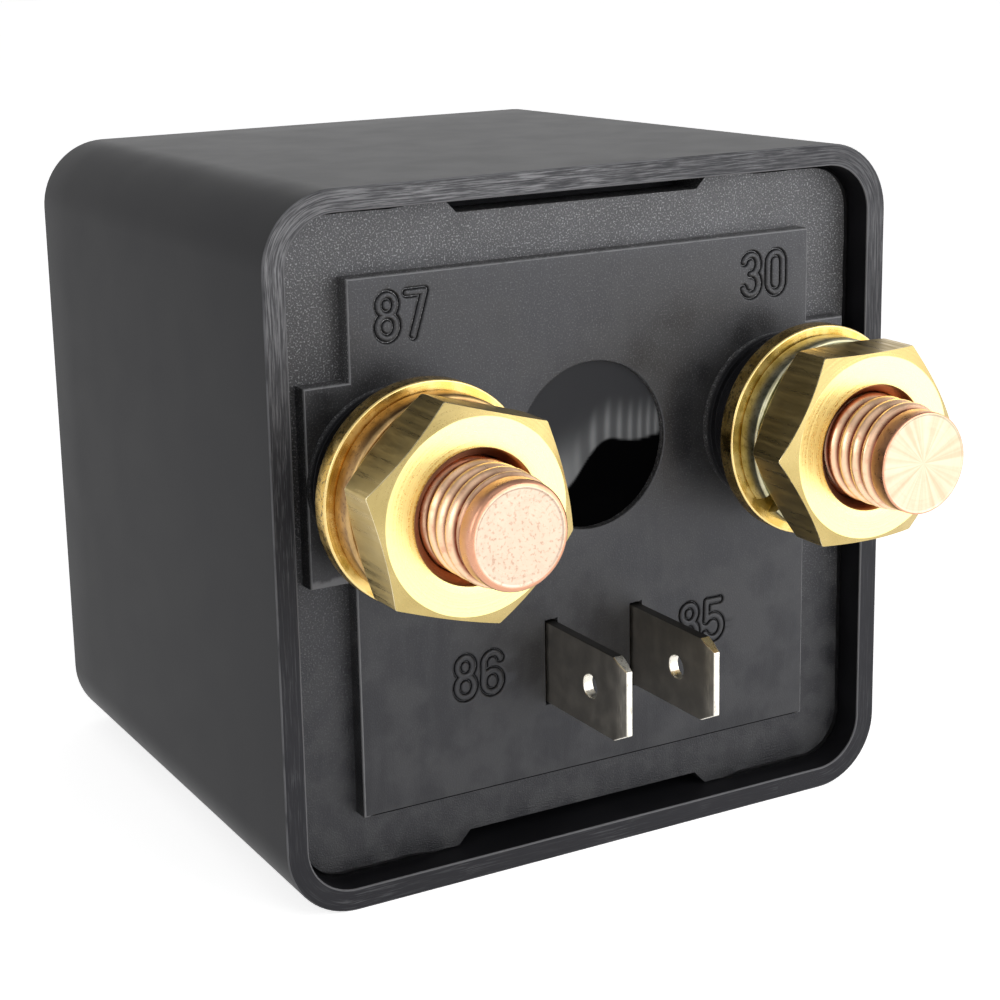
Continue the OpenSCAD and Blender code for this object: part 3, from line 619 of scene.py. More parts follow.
# Inner pieces: two tones and the roughness range of each
plainMetals = {
    "silverContact": ((0.62, 0.61, 0.58), (0.78, 0.77, 0.74), (0.25, 0.4)),
    "platedSteel": ((0.42, 0.42, 0.41), (0.58, 0.58, 0.57), (0.3, 0.45)),
    "softIron": ((0.3, 0.3, 0.3), (0.42, 0.42, 0.43), (0.35, 0.5)),
    "springWire": ((0.4, 0.4, 0.39), (0.62, 0.62, 0.6), (0.25, 0.4)),
    "copperBar": ((0.62, 0.3, 0.19), (0.78, 0.42, 0.28), (0.25, 0.4)),
    "leadWire": ((0.45, 0.16, 0.07), (0.68, 0.3, 0.16), (0.25, 0.4)),
    "sleeveBrass": ((0.62, 0.45, 0.18), (0.75, 0.58, 0.28), (0.25, 0.4))}
plainPlastics = {
    "naturalNylon": ((0.62, 0.58, 0.48), (0.72, 0.68, 0.58), (0.4, 0.55)),
    "coilTape": ((0.55, 0.4, 0.1), (0.68, 0.52, 0.16), (0.3, 0.45))}
plainLook = dict(
    depthStretch=(2500.0, 300.0, 2500.0), widthStretch=(300.0, 2500.0, 2500.0), metalBump=(0.2, 0.00004),
    cloudScales={"naturalNylon": 500.0, "coilTape": 400.0}, specular=0.45, plasticBump=(0.15, 0.00004),
    toneSpan=(0.3, 0.75), roughSpan=(0.3, 0.8))


def finishPlain(w, shader, pattern, dark, light, roughness, bump, look=plainLook):
    tone = w.blend(w.ramp(pattern, *look["toneSpan"]), dark, light)
    rough = w.ramp(pattern, *look["roughSpan"], *roughness)
    finishShader(w, shader, tone, rough, w.bump(pattern, *bump))


def makePlainMetal(name, look=plainLook):
    # Lines drawn along the depth, or along the width on the contact bar
    material, shader, w = newMaterial(name, Metallic=1.0)
    stretch = look["widthStretch"] if name == "copperBar" else look["depthStretch"]
    lines = w.streaks(w.place(), stretch, broadDetail)
    finishPlain(w, shader, lines, *plainMetals[name], look["metalBump"])
    return material


def makePlainPlastic(name, look=plainLook):
    material, shader, w = newMaterial(name, Specular_IOR_Level=look["specular"])
    cloud = w.noise(w.place(), look["cloudScales"][name], broadDetail)
    finishPlain(w, shader, cloud, *plainPlastics[name], look["plasticBump"])
    return material


windingLook = dict(
    metallic=0.6, coat=0.4, wireWidth=0.35, toneSpan=(-0.9, 0.2), dark=(0.16, 0.04, 0.015),
    light=(0.62, 0.24, 0.1), noiseScale=900.0, roughSpan=(0.3, 0.8, 0.25, 0.4), bump=(0.5, 0.0001))


def makeWinding(look):
    # Enamelled wire laid in turns: bands along Y, a fresh one every wire width
    material, shader, w = newMaterial("windingWire", Metallic=look["metallic"], Coat_Weight=look["coat"])
    at = w.place()
    wire = w.math("SINE", w.times(w.parts(at)["Y"], 2 * math.pi / (look["wireWidth"] * mm)))
    tone = w.blend(w.ramp(wire, *look["toneSpan"]), look["dark"], look["light"])
    rough = w.ramp(w.noise(at, look["noiseScale"]), *look["roughSpan"])
    finishShader(w, shader, tone, rough, w.bump(wire, *look["bump"]))
    return material


casePlastic = makeCasePlastic(casePlasticLook)
headerPlastic = makeHeaderPlastic("headerPlastic", headerPlasticLook, frameFinish)
panelPlastic = makeHeaderPlastic("panelPlastic", headerPlasticLook, panelFinish)
sealant = makeSealant(sealantLook)
castCompound = makeCompound(compoundLook)
nutBrass = {key: makeNutBrass("nutBrass" + key, x, nutBrassLook) for key, x in studX.items()}
studCopper = {
    key: makeStudCopper("studCopper" + key, studX[key], studCopperLook, end)
    for key, end in (("87", pittedEnd), ("30", rayedEnd))}
washerBrass = {key: makeTurnedMetal("washerBrass" + key, x, washerBrassLook) for key, x in studX.items()}
lockMetal = {key: makeTurnedMetal(own["name"], studX[key], own) for key, own in lockLooks.items()}
bladeMetal = makeBladeMetal(bladeLook)
innerMaterials = {name: makePlainMetal(name) for name in plainMetals}
innerMaterials.update({name: makePlainPlastic(name) for name in plainPlastics})
innerMaterials["windingWire"] = makeWinding(windingLook)
print("materials made")


# Case: one closed shell, outside and inside

caseShape = dict(
    sideDraw=0.7, topDraw=0.7, cornerRadius=5.4, leastRadius=0.2, rimWall=1.65, cavityWall=3.0,
    pocketDepth=5.2, backWall=2.2, backEdge=0.4, rimEdge=0.09, backInsets=(5.2, 3.5, 1.5), backLip=0.02,
    innerInset=1.5,
    rimShares=(0.06, 0.35, 0.65, 0.94), pocketRows=(1.2, 2.6), roundSteps=6, wallRows=10, innerRows=5,
    arcSteps=16, sideSteps=10, backWear=0.9, outerWear=0.75, innerWear=1.0, roundedRim=0.3)


def roundedLoops(halfWidth, low, high, radius, arcSteps, sideSteps):
    # Rounded rectangles, one for each station: four quarter arcs joined by straight sides
    halfWidth, low, high, radius = np.broadcast_arrays(*map(np.atleast_1d, (halfWidth, low, high, radius)))
    angles = np.radians(-90 + 90 * np.arange(4)[:, None] + np.linspace(0, 90, arcSteps + 1))
    signX, signZ = np.array([1, 1, -1, -1]), np.array([-1, 1, 1, -1])
    middle, halfHeight = (low + high) / 2, (high - low) / 2
    centreX = signX * (halfWidth - radius)[:, None]
    centreZ = middle[:, None] + signZ * (halfHeight - radius)[:, None]
    arcs = np.stack([
        centreX[:, :, None] + radius[:, None, None] * np.cos(angles),
        centreZ[:, :, None] + radius[:, None, None] * np.sin(angles)], -1)
    share = np.linspace(0, 1, sideSteps + 1)[1:-1][:, None]
    ends = np.roll(arcs[:, :, 0], -1, axis=1)[:, :, None]
    sides = arcs[:, :, -1:] * (1 - share) + ends * share
    return np.concatenate([arcs, sides], axis=2).reshape(len(radius), -1, 2)


def caseProfile(shape):
    # Stations from the middle of the back, over the outside, the rim and the inside, to the inner back.
    # Each is depth, inset from the drafted outside, 1 where the draft holds, edge, rim.
    s = shape
    depth, back, edge, wall, cavity = caseDepth, s["backEdge"], s["rimEdge"], s["rimWall"], s["cavityWall"]
    pocket, inner, roundedRim = s["pocketDepth"], depth - s["backWall"], s["roundedRim"]
    turns = np.linspace(0, np.pi / 2, s["roundSteps"])
    quarter = [(math.sin(a), math.cos(a), math.sin(2 * a)) for a in turns]
    rows = [(depth, inset, 1, 0, 0) for inset in (*s["backInsets"], back + s["backLip"])]
    rows += [(depth - back * (1 - cos), back * (1 - sin), 1, s["backWear"] * mid, 0)
             for sin, cos, mid in quarter]
    rows += [(d, 0, 1, 0, 0) for d in np.linspace(depth - back, edge, s["wallRows"])[1:-1]]
    rows.append((edge * 2, 0, 1, 0, 0))
    rows += [(edge * (1 - sin), edge * (1 - cos), 1, s["outerWear"], roundedRim) for sin, cos, _ in quarter]
    rows += [(0, edge + share * (wall - 2 * edge), 1 - share, 0, 1) for share in s["rimShares"]]
    rows += [(edge * (1 - cos), wall - edge + edge * sin, 0, s["innerWear"], roundedRim)
             for sin, cos, _ in quarter]
    rows += [(d, wall, 0, 0, 0) for d in (edge * 2, *s["pocketRows"], pocket)]
    rows += [(d, cavity, 0, 0, 0) for d in np.linspace(pocket, inner, s["innerRows"])]
    rows.append((inner, cavity + s["innerInset"], 0, 0, 0))
    return np.array(rows, float)


def makeCase(shape):
    # The stations' rounded rectangles, joined in order, with a middle point at each end
    rows = caseProfile(shape)
    depth, inset, drafted = rows[:, 0], rows[:, 1], rows[:, 2]
    taper = drafted * depth / caseDepth
    halfWidth = caseWidth / 2 - inset - shape["sideDraw"] * taper
    high = caseHeight - inset - shape["topDraw"] * taper
    radius = np.maximum(shape["cornerRadius"] - inset, shape["leastRadius"])
    loops = roundedLoops(halfWidth, inset, high, radius, shape["arcSteps"], shape["sideSteps"])
    depths = np.broadcast_to(rimY + depth[:, None], loops.shape[:2])
    points = np.stack([loops[..., 0], depths, loops[..., 1]], -1)
    ends = [points[i].mean(0) + 0 * points[i] for i in (0, -1)]
    points = np.concatenate([ends[0][None], points, ends[1][None]])
    pad = lambda column: np.concatenate([[0], column, [0]])[:, None]
    along = runLength(points[len(points) // 2])[None, :]
    mesh = buildMesh("caseShell", [sheet(
        points, wrapCols=True, edge=pad(rows[:, 3]), rim=pad(rows[:, 4]), across=pad(inset), along=along)])
    addPiece("caseShell", mesh, "root", ["case_shell"], casePlastic)


makeCase(caseShape)


# Header: the moulding behind the panel is a merged copy of its node, the panel's face is a fine grid

panelShape = dict(
    face=1.0, frameDepth=2.4, lowered=0.17, halfWidth=19.6, halfHeight=19.65, tongueX=23.1, tongueHeight=14.3,
    edgeRound=0.16, borderShares=(0, 0.12, 0.35, 0.65, 1.0), slotHalf=0.56, slotLow=-14.12, slotHigh=-7.42,
    bladeX=3.75, fine=0.055, coarse=1.1, closest=0.35, numberMargin=0.5, grooveShadeGain=1.3, wallOverlap=0.3,
    backFacing=0.9, sharpDeg=50)
wellShape = dict(
    radius=6.3, lip=0.14, cutMargin=1.0, ringWidth=1.85, ringRise=0.002, lipRise=0.004, wallDepth=1.0,
    steps=160, wearAndGlint=0.4, outside=9)
headerShape = dict(
    weld=1e-6, flatDeg=0.5, faceBand=2e-6, sharpDeg=30, bevel=0.1, bevelSegments=2, bevelDeg=40)

digitShape = dict(width=1.38, height=3.05, pitch=2.25, halfStroke=0.28, line=0.085, depth=0.2, crown=0.03)
# The lower left corner of each number, measured from the middle of the header
digitPlaces = {"87": (-17.25, 15.2), "30": (13.65, 15.0), "86": (-11.75, -12.15), "85": (8.0, -11.7)}

# Digits as straight strokes and arcs on a box 1 wide and 2 high.
# A line is two points, and an arc is its centre, radius, first and last degree.
digitStrokes = {
    "0": [("line", 0, 0.5, 0, 1.5), ("line", 1, 0.5, 1, 1.5), ("arc", 0.5, 1.5, 0.5, 0, 180),
          ("arc", 0.5, 0.5, 0.5, 180, 360)],
    "3": [("arc", 0.47, 1.52, 0.48, -90, 160), ("arc", 0.47, 0.52, 0.52, -160, 90)],
    "5": [("line", 0.08, 2, 0.95, 2), ("line", 0.08, 2, 0.04, 1.05), ("arc", 0.48, 0.6, 0.6, -150, 140)],
    "6": [("arc", 0.5, 0.54, 0.54, 0, 360), ("line", -0.04, 0.54, 0.0, 1.4),
          ("arc", 0.52, 1.45, 0.53, 20, 180)],
    "7": [("line", 0, 2, 1, 2), ("line", 1, 2, 0.32, 0)],
    "8": [("arc", 0.5, 1.53, 0.47, 0, 360), ("arc", 0.5, 0.53, 0.53, 0, 360)]}


def strokeDistance(stroke, x, z, width, height):
    # Distance of each point from a straight stroke or an arc, both scaled to the digit's size
    across, up = width, height / 2
    if stroke[0] == "line":
        ax, az, bx, bz = stroke[1] * across, stroke[2] * up, stroke[3] * across, stroke[4] * up
        dx, dz = bx - ax, bz - az
        share = np.clip(((x - ax) * dx + (z - az) * dz) / (dx * dx + dz * dz), 0, 1)
        return np.hypot(x - ax - share * dx, z - az - share * dz)
    _, cx, cz, radius, first, last = stroke
    angle = np.degrees(np.arctan2((z / up - cz), (x / across - cx)))
    span = last - first
    turned = (angle - first) % 360
    turned = np.where(turned <= span, turned, np.where(turned - span < 360 - turned, span, 0))
    at = np.radians(first + turned)
    return np.hypot(x - (cx + radius * np.cos(at)) * across, z - (cz + radius * np.sin(at)) * up)


def digitRelief(x, z, size):
    # Height of the numbers over the panel: two grooves at the stroke's borders and a low crown between; the
    # grooves also give the mask of painted shade
    nearest = np.full(x.shape, np.inf)
    for number, (left, low) in digitPlaces.items():
        for place, digit in enumerate(number):
            for stroke in digitStrokes[digit]:
                away = strokeDistance(
                    stroke, x - left - place * size["pitch"], z - low, size["width"], size["height"])
                nearest = np.minimum(nearest, away)
    line = np.exp(-((nearest - size["halfStroke"]) / size["line"]) ** 2)
    crown = smoothStep(1 - nearest / size["halfStroke"])
    return size["crown"] * crown - size["depth"] * line, line


def gridLines(ends, marks, zones, shape):
    # Sorted grid lines: coarse everywhere, fine in the zones, and one at each mark
    closest = shape["fine"] * shape["closest"]
    lines = [np.linspace(*ends, int((ends[1] - ends[0]) / shape["coarse"]) + 1), np.array(marks)]
    for low, high in zones:
        lines.append(np.arange(low, high, shape["fine"]))
    lines = np.unique(np.round(np.concatenate(lines), 4))
    keep = np.concatenate([[True], np.diff(lines) > closest])
    for mark in marks:
        near = np.argmin(abs(lines - mark))
        around = slice(max(near - 1, 0), near + 2)
        keep[around] &= abs(lines[around] - mark) > closest
        keep[near] = True
    return lines[keep]


def extrudeBorder(mesh, shape):
    # The face's outer border edges are carried straight back into the header, one quad for each edge
    # in the edges' own order, and the faces are made to look forwards
    work = bmesh.new()
    work.from_mesh(mesh)
    foot = rimY + shape["frameDepth"]
    reach = lambda vert: math.hypot(vert.co.x / mm, vert.co.z / mm - axisZ)
    rims = [e for e in work.edges if e.is_boundary and e.verts[0].co.y < foot * mm
            and max(reach(v) for v in e.verts) > wellShape["outside"]]
    behind = {}
    for edge in rims:
        loop = edge.link_loops[0]
        pair = (loop.link_loop_next.vert, loop.vert)
        for vert in pair:
            if vert not in behind:
                behind[vert] = work.verts.new(vert.co, vert)
                behind[vert].co.y = (foot + shape["wallOverlap"]) * mm
        work.faces.new((*pair, behind[pair[1]], behind[pair[0]]), loop.face)
    work.normal_update()
    turned = [f for f in work.faces if f.normal.y > shape["backFacing"]]
    if len(turned) > len(work.faces) / 2:
        bmesh.ops.reverse_faces(work, faces=work.faces)
    work.to_mesh(mesh)
    work.free()
    mesh.set_sharp_from_angle(angle=math.radians(shape["sharpDeg"]))


def makePanel(shape, size, well):
    # A height over x and z: a level face whose border drops by a quarter round, cut by the numbers
    s = shape
    tongueZ = axisZ - midZ
    tongueLow, tongueHigh = tongueZ - s["tongueHeight"] / 2, tongueZ + s["tongueHeight"] / 2
    margin = s["numberMargin"]
    numberWidth = size["pitch"] + size["width"]
    zonesX = [(x - margin, x + numberWidth + margin) for x, _ in digitPlaces.values()]
    zonesZ = [(z - margin, z + size["height"] + margin) for _, z in digitPlaces.values()]
    border = s["edgeRound"] * np.array(s["borderShares"])
    sides = (s["halfWidth"], s["tongueX"])
    marksX = [sign * (side - b) for sign in (-1, 1) for side in sides for b in border]
    marksX += [sign * s["bladeX"] + side * s["slotHalf"] for sign in (-1, 1) for side in (-1, 1)]
    marksZ = [sign * (s["halfHeight"] - b) for sign in (-1, 1) for b in border]
    marksZ += [tongueLow + b for b in border] + [tongueHigh - b for b in border]
    marksZ += [s["slotLow"], s["slotHigh"]]
    xs = gridLines((-s["tongueX"], s["tongueX"]), marksX, zonesX, s)
    zs = gridLines((-s["halfHeight"], s["halfHeight"]), marksZ, zonesZ, s)
    x, z = np.meshgrid(xs, zs, indexing="ij")
    inPanel = np.minimum(s["halfWidth"] - abs(x), s["halfHeight"] - abs(z))
    inTongue = np.minimum(s["tongueX"] - abs(x), np.minimum(z - tongueLow, tongueHigh - z))
    inside = np.maximum(inPanel, inTongue)
    r = s["edgeRound"]
    drop = r - np.sqrt(np.maximum(r * r - np.clip(r - inside, 0, r) ** 2, 0))
    relief, line = digitRelief(x, z, size)
    points = np.stack([x, rimY + s["face"] + drop - relief, midZ + z], -1)
    # Cells outside the outline, in the well or in a blade's slot are left out
    cx, cz = np.meshgrid((xs[1:] + xs[:-1]) / 2, (zs[1:] + zs[:-1]) / 2, indexing="ij")
    keep = (abs(cx) < s["halfWidth"]) | ((cz > tongueLow) & (cz < tongueHigh))
    keep &= np.hypot(cx, cz - tongueZ) > well["radius"] + well["cutMargin"]
    slot = (abs(abs(cx) - s["bladeX"]) < s["slotHalf"]) & (cz > s["slotLow"]) & (cz < s["slotHigh"])
    keep &= ~slot
    # Painted shade along the lower border, which lies in shadow, and in the numbers' grooves; a painted
    # highlight with a little wear on the other borders
    foot = (s["halfHeight"] + z < r) & (abs(x) < s["halfWidth"] - r)
    edge = np.where((inside < r) & (inside > 0) & ~foot, 1.0, 0.0)
    recess = np.maximum(np.minimum(s["grooveShadeGain"] * line, 1), foot)
    face = sheet(points, keep=keep, recess=recess, edge=edge)
    # A lip round the well covers the grid's cut cells
    corners = [
        (s["face"] - well["ringRise"], well["radius"] + well["ringWidth"]),
        (s["face"] - well["lipRise"], well["radius"]),
        (s["frameDepth"] + well["wallDepth"], well["radius"])]
    lip, lipEdge = filletPath(corners, [0, well["lip"], 0], closed=False)
    ring = sheet(turnedPoints(lip[:, 0], lip[:, 1], 0, well["steps"]), wrapCols=True,
                 edge=well["wearAndGlint"] * lipEdge[:, None])
    mesh = buildMesh("panelFace", [face, ring], sharpDeg=s["sharpDeg"], outward=False)
    extrudeBorder(mesh, s)
    addPiece("panelFace", mesh, "root", [], panelPlastic)


def makeHeader(shape, panel):
    # The header's own mesh, merged, with its panel plane set back to make room for the fine face
    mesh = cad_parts["header"].data.copy()
    mesh.name = "headerBody"
    mesh.materials.clear()
    work = bmesh.new()
    work.from_mesh(mesh)
    bmesh.ops.remove_doubles(work, verts=work.verts, dist=shape["weld"])
    flat = math.radians(shape["flatDeg"])
    bmesh.ops.dissolve_limit(work, angle_limit=flat, verts=work.verts, edges=work.edges)
    face = (rimY + panel["face"]) * mm
    for vert in work.verts:
        if abs(vert.co.y - face) < shape["faceBand"]:
            vert.co.y = face + panel["lowered"] * mm
    work.to_mesh(mesh)
    work.free()
    smoothFaces(mesh, shape["sharpDeg"])
    piece = addPiece("headerBody", mesh, "root", ["header"], headerPlastic)
    bevel = piece.modifiers.new("edges", "BEVEL")
    bevel.width = shape["bevel"] * mm
    bevel.segments = shape["bevelSegments"]
    bevel.limit_method = "ANGLE"
    bevel.angle_limit = math.radians(shape["bevelDeg"])
    bevel.harden_normals = False


makeHeader(headerShape, panelShape)
makePanel(panelShape, digitShape, wellShape)


# Sealing bead in the corner between the header and the rim's inner wall

sealShape = dict(
    width=0.378, height=0.32, gap=11.8, rows=5, wallGap=0.01, arcSteps=24, sideSteps=40, endRows=3,
    endShare=0.15, wobble=0.12, wobbleRate=1.3, swell=0.15, swellRate=3.1, swellSeed=4, depth=2.4,
    baseDepth=2.42)


def makeSeal(shape):
    # A quarter round carried along the rim's inner outline, its width waved by a repeatable wobble
    s = shape
    wall = caseShape["rimWall"] + s["wallGap"]
    loops = []
    for inset in (wall, wall + 1):
        radius = caseShape["cornerRadius"] - inset
        loops.append(roundedLoops(
            caseWidth / 2 - inset, inset, caseHeight - inset, radius, s["arcSteps"], s["sideSteps"])[0])
    loop, inwards = loops[0], loops[1] - loops[0]
    lengths = runLength(loop)
    sheets = []
    for side in (1, -1):
        order = np.flatnonzero(side * loop[:, 0] > s["gap"])
        breakAt = np.flatnonzero(np.diff(order) > 1)
        order = np.roll(order, -breakAt[0] - 1) if len(breakAt) else order
        path, into, run = loop[order], inwards[order], lengths[order]
        count = np.arange(len(run))
        taper = smoothStep(s["endShare"] + np.minimum(count, count[::-1]) / s["endRows"])
        width = s["width"] * (1 + s["wobble"] * hashWaves(run * s["wobbleRate"], side)) * taper
        turn = np.linspace(np.pi / 2, 0, s["rows"])[:, None]
        out = width * np.cos(turn)
        up = s["height"] * (1 - np.sin(turn)) * taper
        plan = path[None] + into[None] * out[..., None]
        swell = 1 + s["swell"] * hashWaves(run * s["swellRate"], side + s["swellSeed"])
        top = np.stack([plan[..., 0], rimY + s["depth"] - up * swell, plan[..., 1]], -1)
        base = top.copy()
        base[..., 1] = rimY + s["baseDepth"]
        ring = np.concatenate([top, base[::-1]])
        middle = ring.mean(0, keepdims=True)
        ends = [middle[:, i] + 0 * ring[:, i] for i in (0, -1)]
        closed = np.concatenate([ends[0][:, None], ring, ends[1][:, None]], axis=1)
        sheets.append(sheet(closed, wrapRows=True))
    mesh = buildMesh("sealBead", sheets)
    addPiece("sealBead", mesh, "root", ["header_seal"], sealant)


makeSeal(sealShape)


# Cast compound in the well

plugShape = dict(
    radius=6.28, edge=1.5, dish=1.0, back=5.1, rows=44, steps=160, ripple=0.018,
    borderLow=-3.2, borderRise=3.1, borderLeft=2.3, borderRun=5.2, borderWave=0.25, borderRate=1.1,
    skinRun=0.28, lineTurns=10.0, lineGrowth=0.17, lineStart=1.0, linePhase=3.0, linePower=4, fadeLeft=1.6,
    fadeRun=2.2,
    fadeTop=3.6, fadeFall=2.8, spotHighlight=0.8, glowLeft=1.7, glowWidth=1.3, glowTop=6.0, glowFall=5.5,
    flowLevel=0.16, flowLines=0.42, spotHighlightShare=0.75)


def makePlug(shape):
    # A shallow dish with flow ripples: depth falls with the square of the radius, plus waves to the right
    s = shape
    radii = np.linspace(0, s["radius"], s["rows"])
    points = turnedPoints(np.zeros(len(radii)), radii, 0, s["steps"])
    x, z = points[..., 0], points[..., 2] - axisZ
    share = np.hypot(x, z) / s["radius"]
    # The wavy border between the dull skin and the glossy pool, both painted with reflection, and the painted
    # highlight lines and highlight spot above it
    border = s["borderLow"] + s["borderRise"] * smoothStep((x + s["borderLeft"]) / s["borderRun"])
    over = z - border - s["borderWave"] * np.sin(x * s["borderRate"])
    skin = smoothStep(over / s["skinRun"] + 0.5)
    swing = s["lineTurns"] * np.exp(s["lineGrowth"] * (x + s["lineStart"])) - s["linePhase"]
    lines = np.sin(swing) ** s["linePower"]
    fade = smoothStep((x + s["fadeLeft"]) / s["fadeRun"]) * smoothStep((s["fadeTop"] - over) / s["fadeFall"])
    # A painted highlight spot left of the middle, near the border
    spotHighlight = s["spotHighlight"] * np.exp(-((x + s["glowLeft"]) / s["glowWidth"]) ** 2)
    spotHighlight = spotHighlight * smoothStep((s["glowTop"] - over) / s["glowFall"]) ** 2
    flow = np.clip(fade * (s["flowLevel"] + s["flowLines"] * lines) + spotHighlight * s["spotHighlightShare"], 0, 1)
    points[..., 1] = rimY + s["edge"] + s["dish"] * (1 - share ** 2) + s["ripple"] * lines * fade
    wall = points[-1:].copy()
    wall[..., 1] = rimY + s["back"]
    middle = wall * 0 + np.array([0, rimY + s["back"], axisZ])
    grid = np.concatenate([points, wall, middle])
    pad = lambda v: np.concatenate([v, v[-1:] * 0, v[-1:] * 0])
    mesh = buildMesh("compoundPlug", [sheet(grid, wrapCols=True, skin=pad(skin), flow=pad(flow))])
    addPiece("compoundPlug", mesh, "root", ["casting_plug"], castCompound)


makePlug(plugShape)


# Studs

studShape = dict(
    majorRadius=3.98, minorRadius=3.36, pitch=1.25, leadRadius=3.7, leadEnd=-15.25, leadSlope=0.12,
    threadEnd=-0.5, shankRadius=3.6, headSide=12.4, headEdge=0.4, headDepth=3.0, steps=144, rowsPerPitch=18,
    dentSlope=0.12, dentRound=0.05, leadRound=0.1, faceRows=13, faceInset=0.3, faceBand=0.1, faceShare=0.8,
    arcSteps=7, headSteps=(3, 4), crestPower=1.9, fadeLength=0.7, startCrest=0.2, leadCrest=0.8,
    leadValue=0.85, shankCrest=0.6, sharpDeg=45)
studEnds = {"87": dict(edge=0.45, dent=0.06, start=0.2), "30": dict(edge=0.14, dent=0.05, start=0.72)}


def makeStud(key, shape, ending):
    # The end face and lead ring are a turned profile; behind it the radius follows a right-hand thread:
    # a round crest and a narrow valley of depth / pitch + turn, which fades in after the lead ring
    s = shape
    x, steps, slope = studX[key], s["steps"], s["leadSlope"]
    low, high = nodeDepths("stud_" + key)
    edge, face = ending["edge"], low + ending["dent"]
    lead, root = s["leadRadius"], s["minorRadius"] + slope
    corners = [(face, 0), (face, lead - edge - s["dentSlope"]), (low, lead - edge), (low, lead),
               (s["leadEnd"], lead), (s["leadEnd"] + slope, root)]
    radii = [0, s["dentRound"], s["dentRound"], edge, s["leadRound"], 0]
    cap, _ = filletPath(corners, radii, steps=s["arcSteps"], closed=False)
    faceRadii = np.linspace(0, lead - edge - s["faceInset"], s["faceRows"] + 1)[:-1]
    cap = np.concatenate([np.stack([face + 0 * faceRadii, faceRadii], -1), cap[1:]])
    onFace = (cap[:, 0] < low + s["faceBand"]) & (cap[:, 1] < lead - edge * s["faceShare"])
    capSheet = sheet(turnedPoints(cap[:, 0], cap[:, 1], x, steps), wrapCols=True, crest=s["leadCrest"],
                     endFace=onFace[:, None].astype(float), lead=(~onFace)[:, None] * s["leadValue"])
    rows = int((s["threadEnd"] - s["leadEnd"]) / s["pitch"] * s["rowsPerPitch"])
    depth = np.linspace(s["leadEnd"] + slope, s["threadEnd"], rows)[:, None]
    turn = np.linspace(0, 2 * np.pi, steps, endpoint=False)[None, :]
    phase = (depth / s["pitch"] + turn / (2 * np.pi) + ending["start"]) % 1
    height = 1 - abs(2 * phase - 1) ** s["crestPower"]
    fade = smoothStep((depth - s["leadEnd"]) / s["fadeLength"])
    radius = root + (s["majorRadius"] - root) * height * fade
    crest = height * fade + s["startCrest"] * (1 - fade)
    threadSheet = sheet(aroundAxis(x, depth, radius, turn), wrapCols=True, crest=crest)
    headFront, shank = high - s["headDepth"], s["shankRadius"]
    tail = np.array([(s["threadEnd"], shank), (headFront, shank), (headFront, 0)])
    tailSheet = sheet(turnedPoints(tail[:, 0], tail[:, 1], x, steps), wrapCols=True, crest=s["shankCrest"])
    # The square head: its edges are cut back by headEdge, and its end rows close to the middle
    half, e = s["headSide"] / 2, s["headEdge"]
    headRows = np.array([(headFront, -half), (headFront, -e), (headFront + e, 0),
                         (high - e, 0), (high, -e), (high, -half)])
    out = headRows[:, 1]
    loops = roundedLoops(half + out, axisZ - half - out, axisZ + half + out, 0.0, *s["headSteps"])
    head = np.stack([x + loops[..., 0], rimY + headRows[:, :1] + 0 * loops[..., 0], loops[..., 1]], -1)
    headSheet = sheet(head, wrapCols=True, crest=s["shankCrest"])
    mesh = buildMesh("stud" + key, [capSheet, threadSheet, tailSheet, headSheet], sharpDeg=s["sharpDeg"])
    addPiece("threadedStud" + key, mesh, "root", ["stud_" + key], studCopper[key])


for key in studX:
    makeStud(key, studShape, studEnds[key])


# Nuts

nutShape = dict(
    flat=14.0, roundInset=0.25, chamfer=0.7, bore=4.05, sink=0.65, cornerRound=0.22, flatSteps=26,
    cornerSteps=7, edge=0.07, lipDepth=0.3, sideDepth=0.4, edgeInset=0.1, mouthDepth=0.3, mouthWidth=0.42,
    mouthShade=0.8, lipValue=0.6, roundWear=0.5, backEdge=0.8, backFace=0.7, chamferLightShare=0.26,
    faceShares=(0.05, 0.3, 0.6, 0.95), chamferShares=(0.04, 0.3, 0.7, 0.97), sideShares=(0.02, 0.5, 0.98),
    backShares=(0.97, 0.5, 0.0), sharpDeg=24)
nutTurn = {"87": 43.7, "30": 0.4}
hexTurn = math.radians(60)


def hexRadius(angle, side, corner, touch):
    # Distance from the middle to a hexagon with rounded corners, for an angle from the middle of a flat
    away = (side - corner) / math.cos(hexTurn / 2)
    off = hexTurn / 2 - abs(angle)
    arc = away * np.cos(off) + np.sqrt(np.maximum(corner ** 2 - (away * np.sin(off)) ** 2, 0))
    return np.where(abs(angle) <= touch, side / np.cos(angle), arc)


